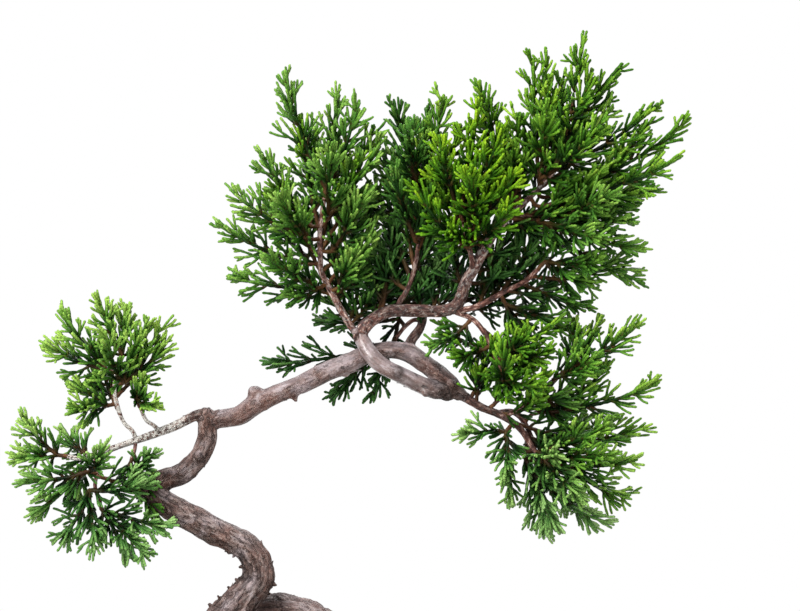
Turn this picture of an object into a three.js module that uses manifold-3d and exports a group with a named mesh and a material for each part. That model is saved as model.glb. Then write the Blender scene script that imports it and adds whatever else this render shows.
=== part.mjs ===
// An itoigawa juniper bonsai in a plain rectangular clay pot, at its real size.
// Millimetres, +Z up. While the pieces are made, the tree's foot is at x = 0, y = 0 and the soil's
// level is z = 0. The viewer stands on the -Y side. The whole group is then moved so that the
// origin is the middle of the underside of its box.

import * as THREE from 'three';
import { mergeVertices } from 'three/addons/utils/BufferGeometryUtils.js';
import Module from 'manifold-3d';

const wasm = await Module();
wasm.setup();

// Driving dimensions
const GAP = 0.35; // clearance between neighbouring pieces
const POT = {
  length: 142,
  width: 106,
  cornerRadius: 18,
  rimTop: 3, // above the soil's level
  bodyHeight: 31,
  wall: 6,
  floor: 6,
  footHeight: 4.5,
  taper: 7, // how much the foot of each wall stands in from the rim
  cornerSteps: 4,
};
const DRAIN = { radius: 6.5, spacing: 64, sides: 14 };
const SCREEN = { side: 22, thickness: 1.2, bar: 2.4, cells: 2 };
const SOIL = { edge: -1.8, mound: 2.6, moundRadius: 30, grain: 0.8, cell: 10.5 };
const SHOOT = { stemRadius: 0.9, stemTipRadius: 0.6, rootRadius: 0.75, tipRadius: 0.55 };
const KNOB_SIDES = 4;
const STEM_STRETCHES = 6;
const FOOT_LENGTH = 2.2;
const SHOOTS_PER_PLUME = 9;
const GOLDEN_ANGLE = THREE.MathUtils.degToRad(137.5);

// Colour and roughness of each material
const LOOKS = {
  bark: [0x7d6a60, 0.85],
  foliage: [0x3f7a22, 0.6],
  clay: [0x5b4034, 0.8],
  soil: [0x7a6046, 0.95],
  screen: [0x20241f, 0.6],
};

// The wood grew as one piece. Each limb is a row of points [x, y, z, radius] along its middle,
// and its number of sides. A limb starts inside the one that it grew from.
const LIMBS = {
  // The foot rises, loops over and turns back behind itself
  foot: [8, [0, 0, -9, 9], [0, 0, 0, 8.2], [0.9, 0, 10.5, 7], [-0.3, 1, 23, 6.5], [-7.5, 3, 34, 6.4],
    [-18.6, 6, 38.3, 6.3], [-29, 8.5, 37, 6.1], [-39, 8, 32.5, 6], [-44.5, 3, 29.5, 5.9]],
  rise: [8, [-45, 4.5, 29.5, 5.7], [-44, -3, 30, 5.9], [-40, -6.5, 34, 5.9], [-34.5, -7, 40, 5.8],
    [-30.6, -6, 44.6, 5], [-27, -5, 48.9, 4.7], [-26.7, -4, 53.1, 4.5], [-28.8, -3, 58, 4.2],
    [-34.2, -2, 61.6, 3.9], [-41.7, -1, 65.4, 3.9], [-52.5, 0, 71.2, 3.9], [-59, 0, 75, 3.5]],
  elbow: [7, [-59.5, 0, 74, 3.2], [-58.8, 0.5, 77.6, 3.3], [-55, 1, 79.6, 3.1], [-50.1, 1, 81, 3],
    [-44.6, 0.5, 86, 3], [-41.9, 0, 92, 2.8], [-41.8, 0, 96, 2.8], [-40.8, 0, 99.4, 2.7]],
  main: [7, [-42, 0, 97.6, 2.5], [-37.8, 0, 97.8, 2.7], [-32.1, 0, 99, 2.85], [-27.3, 0, 102.3, 3],
    [-23.1, 0, 104.4, 2.85], [-17.1, 0, 106.8, 2.7], [-12.3, 0, 108.9, 2.85], [-5.1, 0.5, 112.5, 2.85],
    [0.9, 1.5, 114.6, 3], [5.4, 2.5, 117, 2.7], [9.3, 3, 118.2, 2.4], [14.4, 3, 118.4, 2.5],
    [18.9, 2.5, 117.3, 2.8], [23.4, 2, 114.3, 2.7], [27.3, 1.5, 111.3, 2.7], [30.9, 1, 108, 2.9],
    [34.5, 0.5, 104.6, 1.9]],
  shinyBranch: [7, [29.5, 0.5, 106.6, 2.4], [27.2, -0.6, 106.3, 2.6], [22.5, -1.6, 107.9, 2.5],
    [16.2, -2.2, 111, 2.4], [10.8, -2.5, 113.7, 2.4], [7.2, -2.5, 117, 2.4], [4.9, -2, 120.9, 2.2],
    [3.3, -1.5, 123.8, 1.8]],
  // Twigs of the crown
  leftTwig: [4, [3.6, -1.7, 123, 1.3], [1.5, -1, 125.2, 1.1], [-1.2, -0.5, 129.6, 1.05],
    [-3.6, 0, 133.8, 1], [-6, 0, 138.3, 0.95], [-7.8, 0, 141.8, 0.9], [-8, 0, 146.7, 0.85],
    [-8.1, 0, 153, 0.8], [-7.5, 0, 159, 0.75], [-6.8, 0, 164, 0.65]],
  crownBranch: [6, [3.6, -1.8, 122.6, 1.9], [5, -1.4, 125, 1.95], [8.7, -1, 128.2, 1.85],
    [12.8, -0.5, 130.2, 1.8], [21, 0, 130.2, 1.75], [28, 0, 130.2, 1.75], [32.6, 0, 131.6, 1.8],
    [34.4, 0, 135, 1.7], [35.6, 0, 138.8, 1.65], [38.1, 0, 142.9, 1.6], [40.5, 0, 147.6, 1.5],
    [43.5, 0, 152.7, 1.35], [47.4, 0, 157.3, 1.1], [53.4, 0, 162.9, 0.85], [57.3, 0, 166.8, 0.75],
    [62.4, 0, 172.5, 0.65]],
  rightTwig: [4, [46.2, 0, 156.4, 0.9], [50, 1, 158.7, 0.8], [55.8, 1.5, 158.6, 0.7], [61, 1, 158, 0.65]],
  outerTwig: [4, [31.6, 0, 130.2, 1.1], [37.8, -0.6, 131.1, 0.9], [42.9, -1, 133.5, 0.85],
    [47.7, -1, 136.2, 0.8], [53.7, -1, 139.3, 0.7], [57.6, -1, 143.1, 0.65]],
  middleTwig: [4, [15, -0.4, 130.2, 1], [15.8, 0, 132.8, 0.85], [17.7, 0.5, 135.8, 0.8],
    [19.8, 1, 141.3, 0.75], [21, 1.5, 146.7, 0.7], [21.8, 1.2, 158, 0.65], [21.5, 0.5, 165, 0.6]],
  frontTwig: [4, [38, 0, 142.4, 1], [37.2, -2.6, 146.4, 0.8], [36, -5.4, 151.4, 0.75],
    [34.5, -8, 157.2, 0.65]],
  backBranch: [5, [18.2, 2.8, 117.5, 1.6], [19.2, 4, 121, 1.4], [21.6, 7, 124.4, 1.3],
    [22.8, 10, 127.8, 1.25], [22.5, 14, 131.2, 1.1], [22, 17, 135, 0.95], [22, 19, 139, 0.8]],
  backTwig: [4, [22.6, 9.6, 127.2, 0.8], [20, 11.6, 127.4, 0.7], [17.2, 12.4, 125.2, 0.65],
    [14.4, 13, 121.5, 0.6]],
  hangingTwig: [4, [32.4, 0.2, 130.2, 1], [37.6, 0.4, 127.8, 0.8], [40.6, -1, 124.6, 0.75],
    [44, -3, 117.9, 0.65], [45.9, -4, 111.9, 0.6]],
  // Twigs that carry the lower right side
  lowBranch: [5, [33.2, 0.6, 105.6, 1.7], [35.8, 0.4, 104.2, 1.4], [40.2, 0, 101.4, 1.2],
    [46.2, 0, 99, 1.05], [50.4, -0.5, 96.3, 0.95], [52.8, -1, 93.9, 0.85], [56.1, -1, 88.5, 0.75],
    [60.3, -1, 85.2, 0.65]],
  lowBackTwig: [4, [45, 0.4, 99.4, 1], [49.8, 2.4, 99.8, 0.9], [53.3, 4, 96.7, 0.8], [55.7, 5, 91.8, 0.7]],
  sideTwig: [4, [47.6, -0.2, 98.6, 0.8], [52.4, -2, 101.6, 0.7], [56.7, -2.4, 104.7, 0.7],
    [61.5, -1.8, 109.2, 0.65], [66.3, -1, 112.3, 0.6]],
  // The left branch and its twigs
  leftBranch: [5, [-41, 0, 99.3, 1.9], [-45.3, 0, 98.9, 1.4], [-50.4, 0, 96.3, 1.2], [-56.1, 0, 93.9, 1.1],
    [-61.2, 0, 92.1, 1], [-65.7, 0, 90.6, 0.95], [-70.8, 0, 88.8, 0.9], [-75.6, 0, 87.2, 0.8],
    [-80, 0.4, 86, 0.7], [-84.5, 1, 86.6, 0.65]],
  leftTopTwig: [4, [-63.2, 0, 91.2, 0.8], [-64.2, -0.2, 94, 0.7], [-67, -0.5, 97, 0.65],
    [-69.6, -1, 105.3, 0.65], [-69.3, -1, 111, 0.6], [-68.1, -1, 114.3, 0.6]],
  leftMidTwig: [4, [-55.8, 0, 93.8, 0.7], [-58, -1.4, 96, 0.65], [-60, -2.2, 97.4, 0.6],
    [-61.8, -3, 101.4, 0.6]],
  leftShortTwig: [4, [-63.4, 0, 91.3, 0.7], [-63.6, -1.4, 88.6, 0.6], [-64.5, -2.4, 85.5, 0.6]],
  leftLowTwig: [4, [-75.8, 0, 87.3, 0.8], [-74.8, -2, 83, 0.7], [-75.3, -3, 77.8, 0.65],
    [-74, -4, 73.5, 0.6]],
  // Surface roots, which dive into the soil
  rootLeft: [5, [0, 0, 3, 4.6], [-8, -1, 1.6, 3.2], [-14, -2.4, -0.6, 2.3], [-20, -3, -4.5, 1.2]],
  rootRight: [5, [0, 0, 3, 4.4], [8, 1.4, 1.4, 3.1], [15, 3, -0.8, 2.1], [21, 6, -4.8, 1.1]],
  rootFrontLeft: [5, [0, 0, 3, 4.2], [-4.6, -6.6, 1.4, 2.9], [-7, -13, -1.2, 2], [-8, -18, -5, 1.1]],
  rootFrontRight: [5, [0, 0, 3, 4.2], [5.4, -6, 1.4, 3], [10.4, -11, -0.8, 2.1], [16, -15, -4.6, 1.2]],
  rootBackLeft: [5, [0, 0, 3, 4.2], [-5.4, 6, 1.2, 2.9], [-9, 12, -1.4, 2], [-11, 17, -5, 1.1]],
  rootBackRight: [5, [0, 0, 3, 4.2], [4, 7, 1.2, 2.9], [6, 13.6, -1.4, 2], [7, 19, -5, 1.1]],
};

// Knobs of healed wood and stubs of pruned twigs, each a short cone
// [start x, y, z, radius, end x, y, z, radius]
const KNOBS = [
  [-27.5, 0, 104, 1.9, -27.5, -0.2, 107, 0.9],
  [-24.6, -0.6, 102.5, 1.8, -24.8, -1.4, 100.6, 0.9],
  [-38.2, -1.4, 98, 1.7, -38.6, -3.6, 98.6, 1],
  [-44.2, -1.4, 86, 1.7, -44.4, -4, 86.8, 0.9],
  [-47.4, 0.6, 82.6, 1.8, -45.6, 0.4, 80.6, 0.8],
  [-8.7, -1.2, 111.5, 1.2, -9.4, -2.4, 113.8, 0.6],
  [-15.6, 0, 105.6, 1.1, -15.4, -0.4, 103, 0.6],
  [-0.6, 1, 112.6, 1.5, -0.2, 0.4, 110.6, 0.8],
  [15, -3.4, 111.6, 1.7, 15.4, -5, 112.4, 1.1],
  [29.8, 0.4, 106.4, 2.6, 30.6, -0.8, 104, 1.7],
  [-33.2, -3.4, 58.6, 1.2, -31.6, -4.6, 56.6, 0.5],
  [-36.2, -2.4, 60.2, 1.1, -35.4, -3.6, 57.4, 0.5],
  [-30, -5.6, 50.4, 1.4, -32.8, -7, 49, 0.6],
  [-32.4, -7.6, 45, 1.4, -35.6, -8.6, 46.4, 0.6],
];

// Each leafy branchlet springs from one point of a twig. Its plumes are [tip x, y, z, reach], where
// reach is the length of its longest side shoots.
const BRANCHLETS = {
  leafy_left_1: [[-6.8, 0, 164], [-19.2, -2, 201.6, 11], [-3, 5, 196, 11], [3.7, -4, 193, 10]],
  leafy_left_2: [[-7.5, 0, 159], [-5.1, -20, 180, 10], [10, -3, 182, 10]],
  leafy_left_3: [[-8.1, 0, 155.4], [-25.5, -4, 177.5, 11], [-11, 20, 184, 10]],
  leafy_left_4: [[-8.1, 0, 151.6], [-34.8, -4, 166.5, 11], [-20, -19, 165, 10]],
  leafy_left_5: [[-8, 0, 148], [5.8, -10, 166, 10], [3, 16, 165, 10]],
  leafy_left_6: [[-7.9, 0, 144.4], [-39.3, 3, 156.6, 10], [-26, 18, 162, 10]],
  leafy_left_7: [[-6, 0, 138.3], [-35.4, 2, 141, 10], [-24, -14, 147, 9], [-18.6, -6, 134.6, 7]],
  leafy_left_8: [[-4.8, 0, 136], [8.4, -3, 157, 9], [2.4, -12, 148, 8]],
  leafy_middle_1: [[21.5, 0.5, 165], [14.1, 2, 193.5, 10], [24.6, 8, 190, 10], [19, -11, 186, 9]],
  leafy_middle_2: [[21.8, 1.2, 158], [10.8, 8, 179, 10], [6, 14, 163, 9], [27, 15, 174, 9]],
  leafy_middle_3: [[21.3, 1.4, 151], [14, -13, 173, 9], [28, -8, 175, 9]],
  leafy_back_1: [[22, 19, 139], [25, 27, 160, 10], [11, 25, 153, 10], [39, 26, 152, 9]],
  leafy_back_2: [[22.5, 14.4, 131.6], [7.4, 17, 137.5, 9], [4, 12, 147, 8]],
  leafy_front_1: [[34.5, -8, 157.2], [39.3, -6, 193, 10], [27.4, -16, 182, 10], [46.4, -17, 185, 10]],
  leafy_front_2: [[35.2, -6.8, 154.4], [36.6, -29, 173, 10], [50.6, -16, 172, 10]],
  leafy_front_3: [[36.2, -5, 150.6], [20.4, -14, 168, 9], [48.4, -21, 161, 9], [30, -18, 154, 8]],
  leafy_top_1: [[62.4, 0, 172.5], [70.8, 0, 213.4, 10], [64.4, 10, 200.6, 10], [93.4, 4, 192.6, 11]],
  leafy_top_2: [[60.4, 0, 170.4], [82.6, 4, 204.6, 11], [72, 21, 189, 10]],
  leafy_top_3: [[58.6, 0, 168.4], [76.4, -20, 187, 10], [58.6, -15, 191, 10]],
  leafy_top_4: [[56.6, 0, 166.2], [103, 0, 188, 10], [84, 20, 178, 10]],
  leafy_top_5: [[54.6, 0, 164.2], [99.4, -7, 176, 10], [94, 6, 167, 10]],
  leafy_top_6: [[52.4, 0, 162], [60.6, 4, 206.6, 11], [50, -12, 180, 8]],
  leafy_top_7: [[48.4, 0, 158.3], [40, 6, 199.6, 11], [45.6, 18, 180, 10]],
  leafy_outer_1: [[61, 1, 158], [85, 0, 157.4, 10], [88.6, 8, 163, 9], [79, -18, 165.6, 10]],
  leafy_outer_2: [[57.8, 1.4, 158.4], [89.2, -4, 148, 10], [75, -19, 152, 9]],
  leafy_outer_3: [[53.8, 1.4, 158.6], [89.4, 5, 138.6, 10], [73, 19, 157, 9]],
  leafy_side_1: [[57.6, -1, 143.1], [76, -12, 145, 9], [73.4, -1, 138, 9]],
  leafy_side_2: [[53.2, -1, 139], [73, 3, 131, 9], [58, 15, 149, 9]],
  leafy_side_3: [[46, -1, 135.3], [65.4, 4, 125.4, 10], [54.9, 9, 123.6, 9]],
  leafy_inner_1: [[45.9, -4, 111.9], [46.4, -18, 122, 8], [57.6, -20, 108, 8]],
  leafy_inner_2: [[44.8, -3.4, 115.4], [61.6, -6, 118, 8], [54.6, -12, 124, 8]],
  leafy_inner_3: [[43, -2.4, 119.6], [27.6, 4, 127, 6], [31.4, -7, 116, 6]],
  leafy_low_1: [[66.3, -1, 112.3], [87.3, -2, 126.9, 9], [68.4, 7, 128, 8]],
  leafy_low_2: [[61.8, -1.7, 109.4], [76, 6, 128, 8], [74, -12, 117, 8]],
  leafy_low_3: [[53.3, 4, 96.7], [93.6, 2, 108.6, 10], [79.2, 8, 115, 9]],
  leafy_low_4: [[55.7, 5, 91.8], [90.3, 5, 95.4, 10], [75, 19, 99, 9]],
  leafy_low_5: [[60.3, -1, 85.2], [86.7, -2, 85.6, 10], [84.2, 3, 73.8, 10]],
  leafy_low_6: [[58.6, -1, 86.6], [77.6, -12, 97, 9], [79, -18, 88.4, 9]],
  leafy_low_7: [[57, -1, 87.8], [69.4, -18, 74.4, 9], [62, -19, 88, 8]],
  leafy_low_8: [[55.9, -1, 89], [79.2, -2, 66.6, 10], [72.6, 8, 65.6, 9], [63.4, -6, 63.8, 9]],
  leafy_low_9: [[54.6, -1, 91], [59.2, 4, 61.8, 10], [70, 18, 79, 9]],
  leafy_low_10: [[50, -0.4, 96.7], [49.6, -1, 72.2, 8], [47, -9, 80, 6], [33.6, -5, 94, 6]],
  leafy_far_1: [[-68.1, -1, 114.3], [-74.6, -2, 135, 9], [-66.6, 6, 132, 9]],
  leafy_far_2: [[-69.1, -1, 111.6], [-91, 4, 121, 9], [-86, -1, 130.6, 9]],
  leafy_far_3: [[-69.4, -1, 108.6], [-53, 1, 122.4, 8], [-59.2, -5, 128.2, 9], [-71, -18, 124, 9]],
  leafy_far_4: [[-68.8, -0.8, 102.6], [-73, 17, 120, 9], [-83, 4, 109, 8], [-81, -9, 101, 8]],
  leafy_far_5: [[-61.8, -3, 101.4], [-60.6, -6, 111.4, 5], [-56, -10, 103, 5]],
  leafy_far_6: [[-84.5, 1, 86.6], [-98, 1, 99, 8], [-101, 3, 87, 8]],
  leafy_far_7: [[-74, -4, 73.5], [-51.8, -12, 66, 9], [-58.4, -15, 57.6, 9], [-64.4, -4, 56.4, 8]],
  leafy_far_8: [[-75, -3.2, 76.6], [-75, -9, 58.4, 8], [-86, 1, 60.4, 9], [-56.6, -14, 79.6, 8]],
  leafy_far_9: [[-74.9, -2.4, 81.4], [-95, 2, 68, 9], [-72, -18, 90, 8], [-97.6, -4, 79.6, 8]],
  leafy_far_10: [[-78, 0.2, 86.5], [-83, 15, 73, 8], [-86, 14, 94, 8]],
  leafy_far_11: [[-64.5, -2.4, 85.5], [-56.2, -7, 89, 5], [-60, -8, 79, 5]],
  leafy_behind_1: [[14.4, 13, 121.5], [-25.5, 16, 114.3, 9], [-5.4, 19, 102.6, 8]],
  leafy_behind_2: [[17.4, 12.4, 125.3], [-10.6, 19, 127.4, 8], [7, 19, 103.6, 7]],
};

const toVector = ([x, y, z]) => new THREE.Vector3(x, y, z);

// Numbers from 0 to 1 that come out the same each time for the same seed
function seededRandom(seed) {
  let state = seed;
  return () => {
    state = (state * 1664525 + 1013904223) % 4294967296;
    return state / 4294967296;
  };
}

// A closed tube with flat ends through the points, with a radius at each of them
function tubeGeometry(points, radii, sides) {
  const positions = [];
  const index = [];
  const normal = new THREE.Vector3();
  points.forEach((point, i) => {
    const before = points[Math.max(i - 1, 0)];
    const after = points[Math.min(i + 1, points.length - 1)];
    const tangent = after.clone().sub(before).normalize();
    if (i === 0) {
      const helper = Math.abs(tangent.z) < 0.8 ? new THREE.Vector3(0, 0, 1) : new THREE.Vector3(1, 0, 0);
      normal.crossVectors(helper, tangent).normalize();
    }
    normal.addScaledVector(tangent, -normal.dot(tangent)).normalize();
    const side = new THREE.Vector3().crossVectors(tangent, normal);
    for (let j = 0; j < sides; j += 1) {
      const angle = (2 * Math.PI * j) / sides;
      const corner = point.clone()
        .addScaledVector(normal, radii[i] * Math.cos(angle))
        .addScaledVector(side, radii[i] * Math.sin(angle));
      positions.push(corner.x, corner.y, corner.z);
    }
  });
  const last = (points.length - 1) * sides;
  for (let j = 0; j < sides; j += 1) {
    const k = (j + 1) % sides;
    for (let ring = 0; ring < last; ring += sides) {
      index.push(ring + j, ring + k, ring + sides + k, ring + j, ring + sides + k, ring + sides + j);
    }
    if (j > 0 && j < sides - 1) {
      index.push(0, j + 1, j, last, last + j, last + j + 1);
    }
  }
  const geometry = new THREE.BufferGeometry();
  geometry.setAttribute('position', new THREE.Float32BufferAttribute(positions, 3));
  geometry.setIndex(index);
  return geometry;
}

// A closed loft of rounded rectangles: each ring is [inset from the outline, z]
function loftGeometry(length, width, cornerRadius, cornerSteps, rings) {
  const perRing = 4 * (cornerSteps + 1);
  const positions = [];
  const index = [];
  rings.forEach(([inset, z]) => {
    const radius = Math.max(cornerRadius - inset, 1);
    const middleX = length / 2 - inset - radius;
    const middleY = width / 2 - inset - radius;
    for (let corner = 0; corner < 4; corner += 1) {
      const signX = corner === 0 || corner === 3 ? 1 : -1;
      const signY = corner < 2 ? 1 : -1;
      for (let step = 0; step <= cornerSteps; step += 1) {
        const angle = (Math.PI / 2) * (corner + step / cornerSteps);
        const x = signX * middleX + radius * Math.cos(angle);
        const y = signY * middleY + radius * Math.sin(angle);
        positions.push(x, y, z);
      }
    }
  });
  const last = (rings.length - 1) * perRing;
  for (let j = 0; j < perRing; j += 1) {
    const k = (j + 1) % perRing;
    for (let ring = 0; ring < last; ring += perRing) {
      index.push(ring + j, ring + k, ring + perRing + k, ring + j, ring + perRing + k, ring + perRing + j);
    }
    if (j > 0 && j < perRing - 1) {
      index.push(0, j + 1, j, last, last + j, last + j + 1);
    }
  }
  const geometry = new THREE.BufferGeometry();
  geometry.setAttribute('position', new THREE.Float32BufferAttribute(positions, 3));
  geometry.setIndex(index);
  return geometry;
}

function toSolid(geometry) {
  const bare = geometry.clone();
  bare.deleteAttribute('normal');
  bare.deleteAttribute('uv');
  const merged = mergeVertices(bare, 1e-4);
  const vertProperties = new Float32Array(merged.attributes.position.array);
  const triVerts = new Uint32Array(merged.index.array);
  return new wasm.Manifold(new wasm.Mesh({ numProp: 3, vertProperties, triVerts }));
}

function toGeometry(solid) {
  const { vertProperties, triVerts } = solid.getMesh();
  const geometry = new THREE.BufferGeometry();
  geometry.setAttribute('position', new THREE.Float32BufferAttribute(vertProperties, 3));
  geometry.setIndex(Array.from(triVerts));
  geometry.computeVertexNormals();
  return geometry;
}

const joinSolids = (solids) => solids.reduce((whole, solid) => whole.add(solid));

// The largest of the separate bodies that a cut leaves
function largestBody(solid) {
  return solid.decompose().reduce((best, body) => (body.volume() > best.volume() ? body : best));
}

function makeMesh(name, geometry, [color, roughness]) {
  const material = new THREE.MeshStandardMaterial({ color, roughness, metalness: 0, flatShading: true });
  const mesh = new THREE.Mesh(geometry, material);
  mesh.name = name;
  return mesh;
}

// A limb's middle line, sampled evenly, with its radius at each sample
function limbPath([, ...stations]) {
  const curve = new THREE.CatmullRomCurve3(stations.map(toVector), false, 'centripetal');
  const thickest = Math.max(...stations.map((station) => station[3]));
  const step = THREE.MathUtils.clamp(1.2 * thickest, 4.6, 5.6);
  const count = Math.max(2, Math.round(curve.getLength() / step));
  const points = [];
  const radii = [];
  for (let i = 0; i <= count; i += 1) {
    const u = curve.getUtoTmapping(i / count);
    const place = u * (stations.length - 1);
    const from = Math.min(Math.floor(place), stations.length - 2);
    points.push(curve.getPoint(u));
    radii.push(THREE.MathUtils.lerp(stations[from][3], stations[from + 1][3], place - from));
  }
  return { points, radii };
}

// The whole wood, or the same wood grown outward by a clearance
function woodSolid(paths, clearance) {
  const limbs = paths.map(({ points, radii, sides }) => toSolid(
    tubeGeometry(points, radii.map((radius) => radius + clearance), sides),
  ));
  const knobs = KNOBS.map((knob) => toSolid(tubeGeometry(
    [toVector(knob), toVector(knob.slice(4))],
    [knob[3] + clearance, knob[7] + clearance],
    KNOB_SIDES,
  )));
  return joinSolids([...limbs, ...knobs]);
}

// Rings of the pot's outside, over its rim and down its inside to the floor
function potRings() {
  const bottom = POT.rimTop - POT.bodyHeight;
  const innerTaper = POT.taper + POT.wall;
  return [
    [POT.taper + 1.5, bottom],
    [POT.taper, bottom + 1.5],
    [3.4, POT.rimTop - 9],
    [1.6, POT.rimTop - 8],
    [0, POT.rimTop - 7],
    [0, POT.rimTop - 1],
    [1, POT.rimTop],
    [POT.wall, POT.rimTop],
    [POT.wall + 0.8, POT.rimTop - 1],
    [innerTaper, bottom + POT.floor + 1.5],
    [innerTaper + 1.5, bottom + POT.floor],
  ];
}

function potSolid() {
  const bottom = POT.rimTop - POT.bodyHeight;
  const body = toSolid(loftGeometry(POT.length, POT.width, POT.cornerRadius, POT.cornerSteps, potRings()));
  const footRings = [[2, -POT.footHeight], [0, 1.2]];
  const feet = [[1, 1], [-1, 1], [-1, -1], [1, -1]].map(([signX, signY]) => toSolid(
    loftGeometry(30, 16, 5, 2, footRings).translate(
      signX * (POT.length / 2 - POT.taper - 18),
      signY * (POT.width / 2 - POT.taper - 11),
      bottom,
    ),
  ));
  const drains = [-0.5, 0.5].map((side) => toSolid(
    new THREE.CylinderGeometry(DRAIN.radius, DRAIN.radius, 3 * POT.floor, DRAIN.sides)
      .rotateX(Math.PI / 2)
      .translate(side * DRAIN.spacing, 0, bottom + POT.floor / 2),
  ));
  return drains.reduce((pot, drain) => pot.subtract(drain), joinSolids([body, ...feet]));
}

const innerFloor = POT.rimTop - POT.bodyHeight + POT.floor;

// A square of plastic lattice over a drain hole
function screenSolid(side) {
  const place = (geometry, x, y) => toSolid(
    geometry.translate(side * DRAIN.spacing + x, y, innerFloor + GAP + SCREEN.thickness / 2),
  );
  const pitch = (SCREEN.side - SCREEN.bar) / SCREEN.cells;
  const open = pitch - SCREEN.bar;
  let screen = place(new THREE.BoxGeometry(SCREEN.side, SCREEN.side, SCREEN.thickness), 0, 0);
  for (let i = 0; i < SCREEN.cells; i += 1) {
    for (let j = 0; j < SCREEN.cells; j += 1) {
      const x = (i - (SCREEN.cells - 1) / 2) * pitch;
      const y = (j - (SCREEN.cells - 1) / 2) * pitch;
      screen = screen.subtract(place(new THREE.BoxGeometry(open, open, 2 * SCREEN.thickness), x, y));
    }
  }
  return screen;
}

// The soil's level, with a low mound around the foot
function soilLevel(x, y) {
  return SOIL.edge + SOIL.mound * Math.exp(-(x * x + y * y) / (2 * SOIL.moundRadius ** 2));
}

// A block whose top is the soil's grainy surface
function soilTopGeometry() {
  const columns = Math.round(POT.length / SOIL.cell);
  const rows = Math.round(POT.width / SOIL.cell);
  const geometry = new THREE.BoxGeometry(POT.length, POT.width, 60, columns, rows, 1);
  const random = seededRandom(11);
  const position = geometry.attributes.position;
  const raised = new Map();
  for (let i = 0; i < position.count; i += 1) {
    const [x, y, z] = [position.getX(i), position.getY(i), position.getZ(i)];
    const key = `${x.toFixed(2)},${y.toFixed(2)}`;
    if (!raised.has(key)) {
      raised.set(key, soilLevel(x, y) + SOIL.grain * (2 * random() - 1));
    }
    position.setZ(i, z > 0 ? raised.get(key) : innerFloor + GAP);
  }
  return geometry;
}

function soilSolid(grownWood) {
  const sides = toSolid(loftGeometry(POT.length, POT.width, POT.cornerRadius, POT.cornerSteps, [
    [POT.taper + POT.wall + 1.5 + GAP, innerFloor],
    [POT.taper + POT.wall + GAP, innerFloor + 1.5],
    [POT.wall + 0.8 + GAP, POT.rimTop - 1],
    [POT.wall + 0.8 + GAP, POT.rimTop + 8],
  ]));
  const pockets = [-0.5, 0.5].map((side) => toSolid(
    new THREE.BoxGeometry(SCREEN.side + 2 * GAP, SCREEN.side + 2 * GAP, 2 * SCREEN.thickness + 4 * GAP)
      .translate(side * DRAIN.spacing, 0, innerFloor + GAP),
  ));
  const filled = sides.intersect(toSolid(soilTopGeometry()));
  return largestBody(pockets.reduce((soil, pocket) => soil.subtract(pocket), filled).subtract(grownWood));
}

// Pieces of wood, stem and shoot that are already placed, as rods, so that what grows later is
// bent clear of them
const placedRods = [];

function placeRod(start, end, radius, node, plume) {
  placedRods.push({ start, end, radius, node, plume });
}

// The distance between the middle lines a to b and c to d
function lineDistance(a, b, c, d) {
  const u = b.clone().sub(a);
  const v = d.clone().sub(c);
  const w = a.clone().sub(c);
  const [uu, uv, vv, uw, vw] = [u.dot(u), u.dot(v), v.dot(v), u.dot(w), v.dot(w)];
  const spread = uu * vv - uv * uv;
  let s = spread > 1e-9 ? THREE.MathUtils.clamp((uv * vw - vv * uw) / spread, 0, 1) : 0;
  const t = vv > 1e-9 ? THREE.MathUtils.clamp((uv * s + vw) / vv, 0, 1) : 0;
  s = uu > 1e-9 ? THREE.MathUtils.clamp((uv * t - uw) / uu, 0, 1) : 0;
  return a.clone().addScaledVector(u, s).distanceTo(c.clone().addScaledVector(v, t));
}

// The least room between a new rod and the placed ones, counted over the gap that each pair needs.
// The rods of its own plume, and those near its node's root, need not be clear of it.
function roomAround(start, end, radius, node, plume, root) {
  let room = Infinity;
  placedRods.forEach((rod) => {
    const family = rod.node === node;
    if (family && (rod.plume === plume || rod.start.distanceTo(root) < 5)) {
      return;
    }
    const distance = lineDistance(start, end, rod.start, rod.end) - radius - rod.radius;
    room = Math.min(room, distance - (family ? 0.1 : GAP));
  });
  return room;
}

const boxes = new WeakMap();

// The box around a triangle, which is an array of its three corners
function boxOf(triangle) {
  if (!boxes.has(triangle)) {
    boxes.set(triangle, new THREE.Box3().setFromPoints(triangle));
  }
  return boxes.get(triangle);
}

function facing([a, b, c]) {
  return b.clone().sub(a).cross(c.clone().sub(a)).normalize();
}

// Whether a side of one triangle, away from any shared corner, passes through the other
function sidePierces(one, other) {
  return one.some((start, k) => {
    const end = one[(k + 1) % 3];
    if (other.includes(start) || other.includes(end)) {
      return false;
    }
    const ray = new THREE.Ray(start, end.clone().sub(start).normalize());
    const hit = ray.intersectTriangle(...other, false, new THREE.Vector3());
    return hit !== null && hit.distanceTo(start) < end.distanceTo(start);
  });
}

// Whether two triangles cross, or lie folded almost flat on each other along a shared side
function areTangled(one, other) {
  if (one === other || !boxOf(one).intersectsBox(boxOf(other))) {
    return false;
  }
  if (one.filter((corner) => other.includes(corner)).length === 2) {
    return facing(one).dot(facing(other)) < -0.99;
  }
  return sidePierces(one, other) || sidePierces(other, one);
}

// All that a new stem or shoot must not cut through, each with its triangles and the box round them
const obstacles = [];

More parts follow.
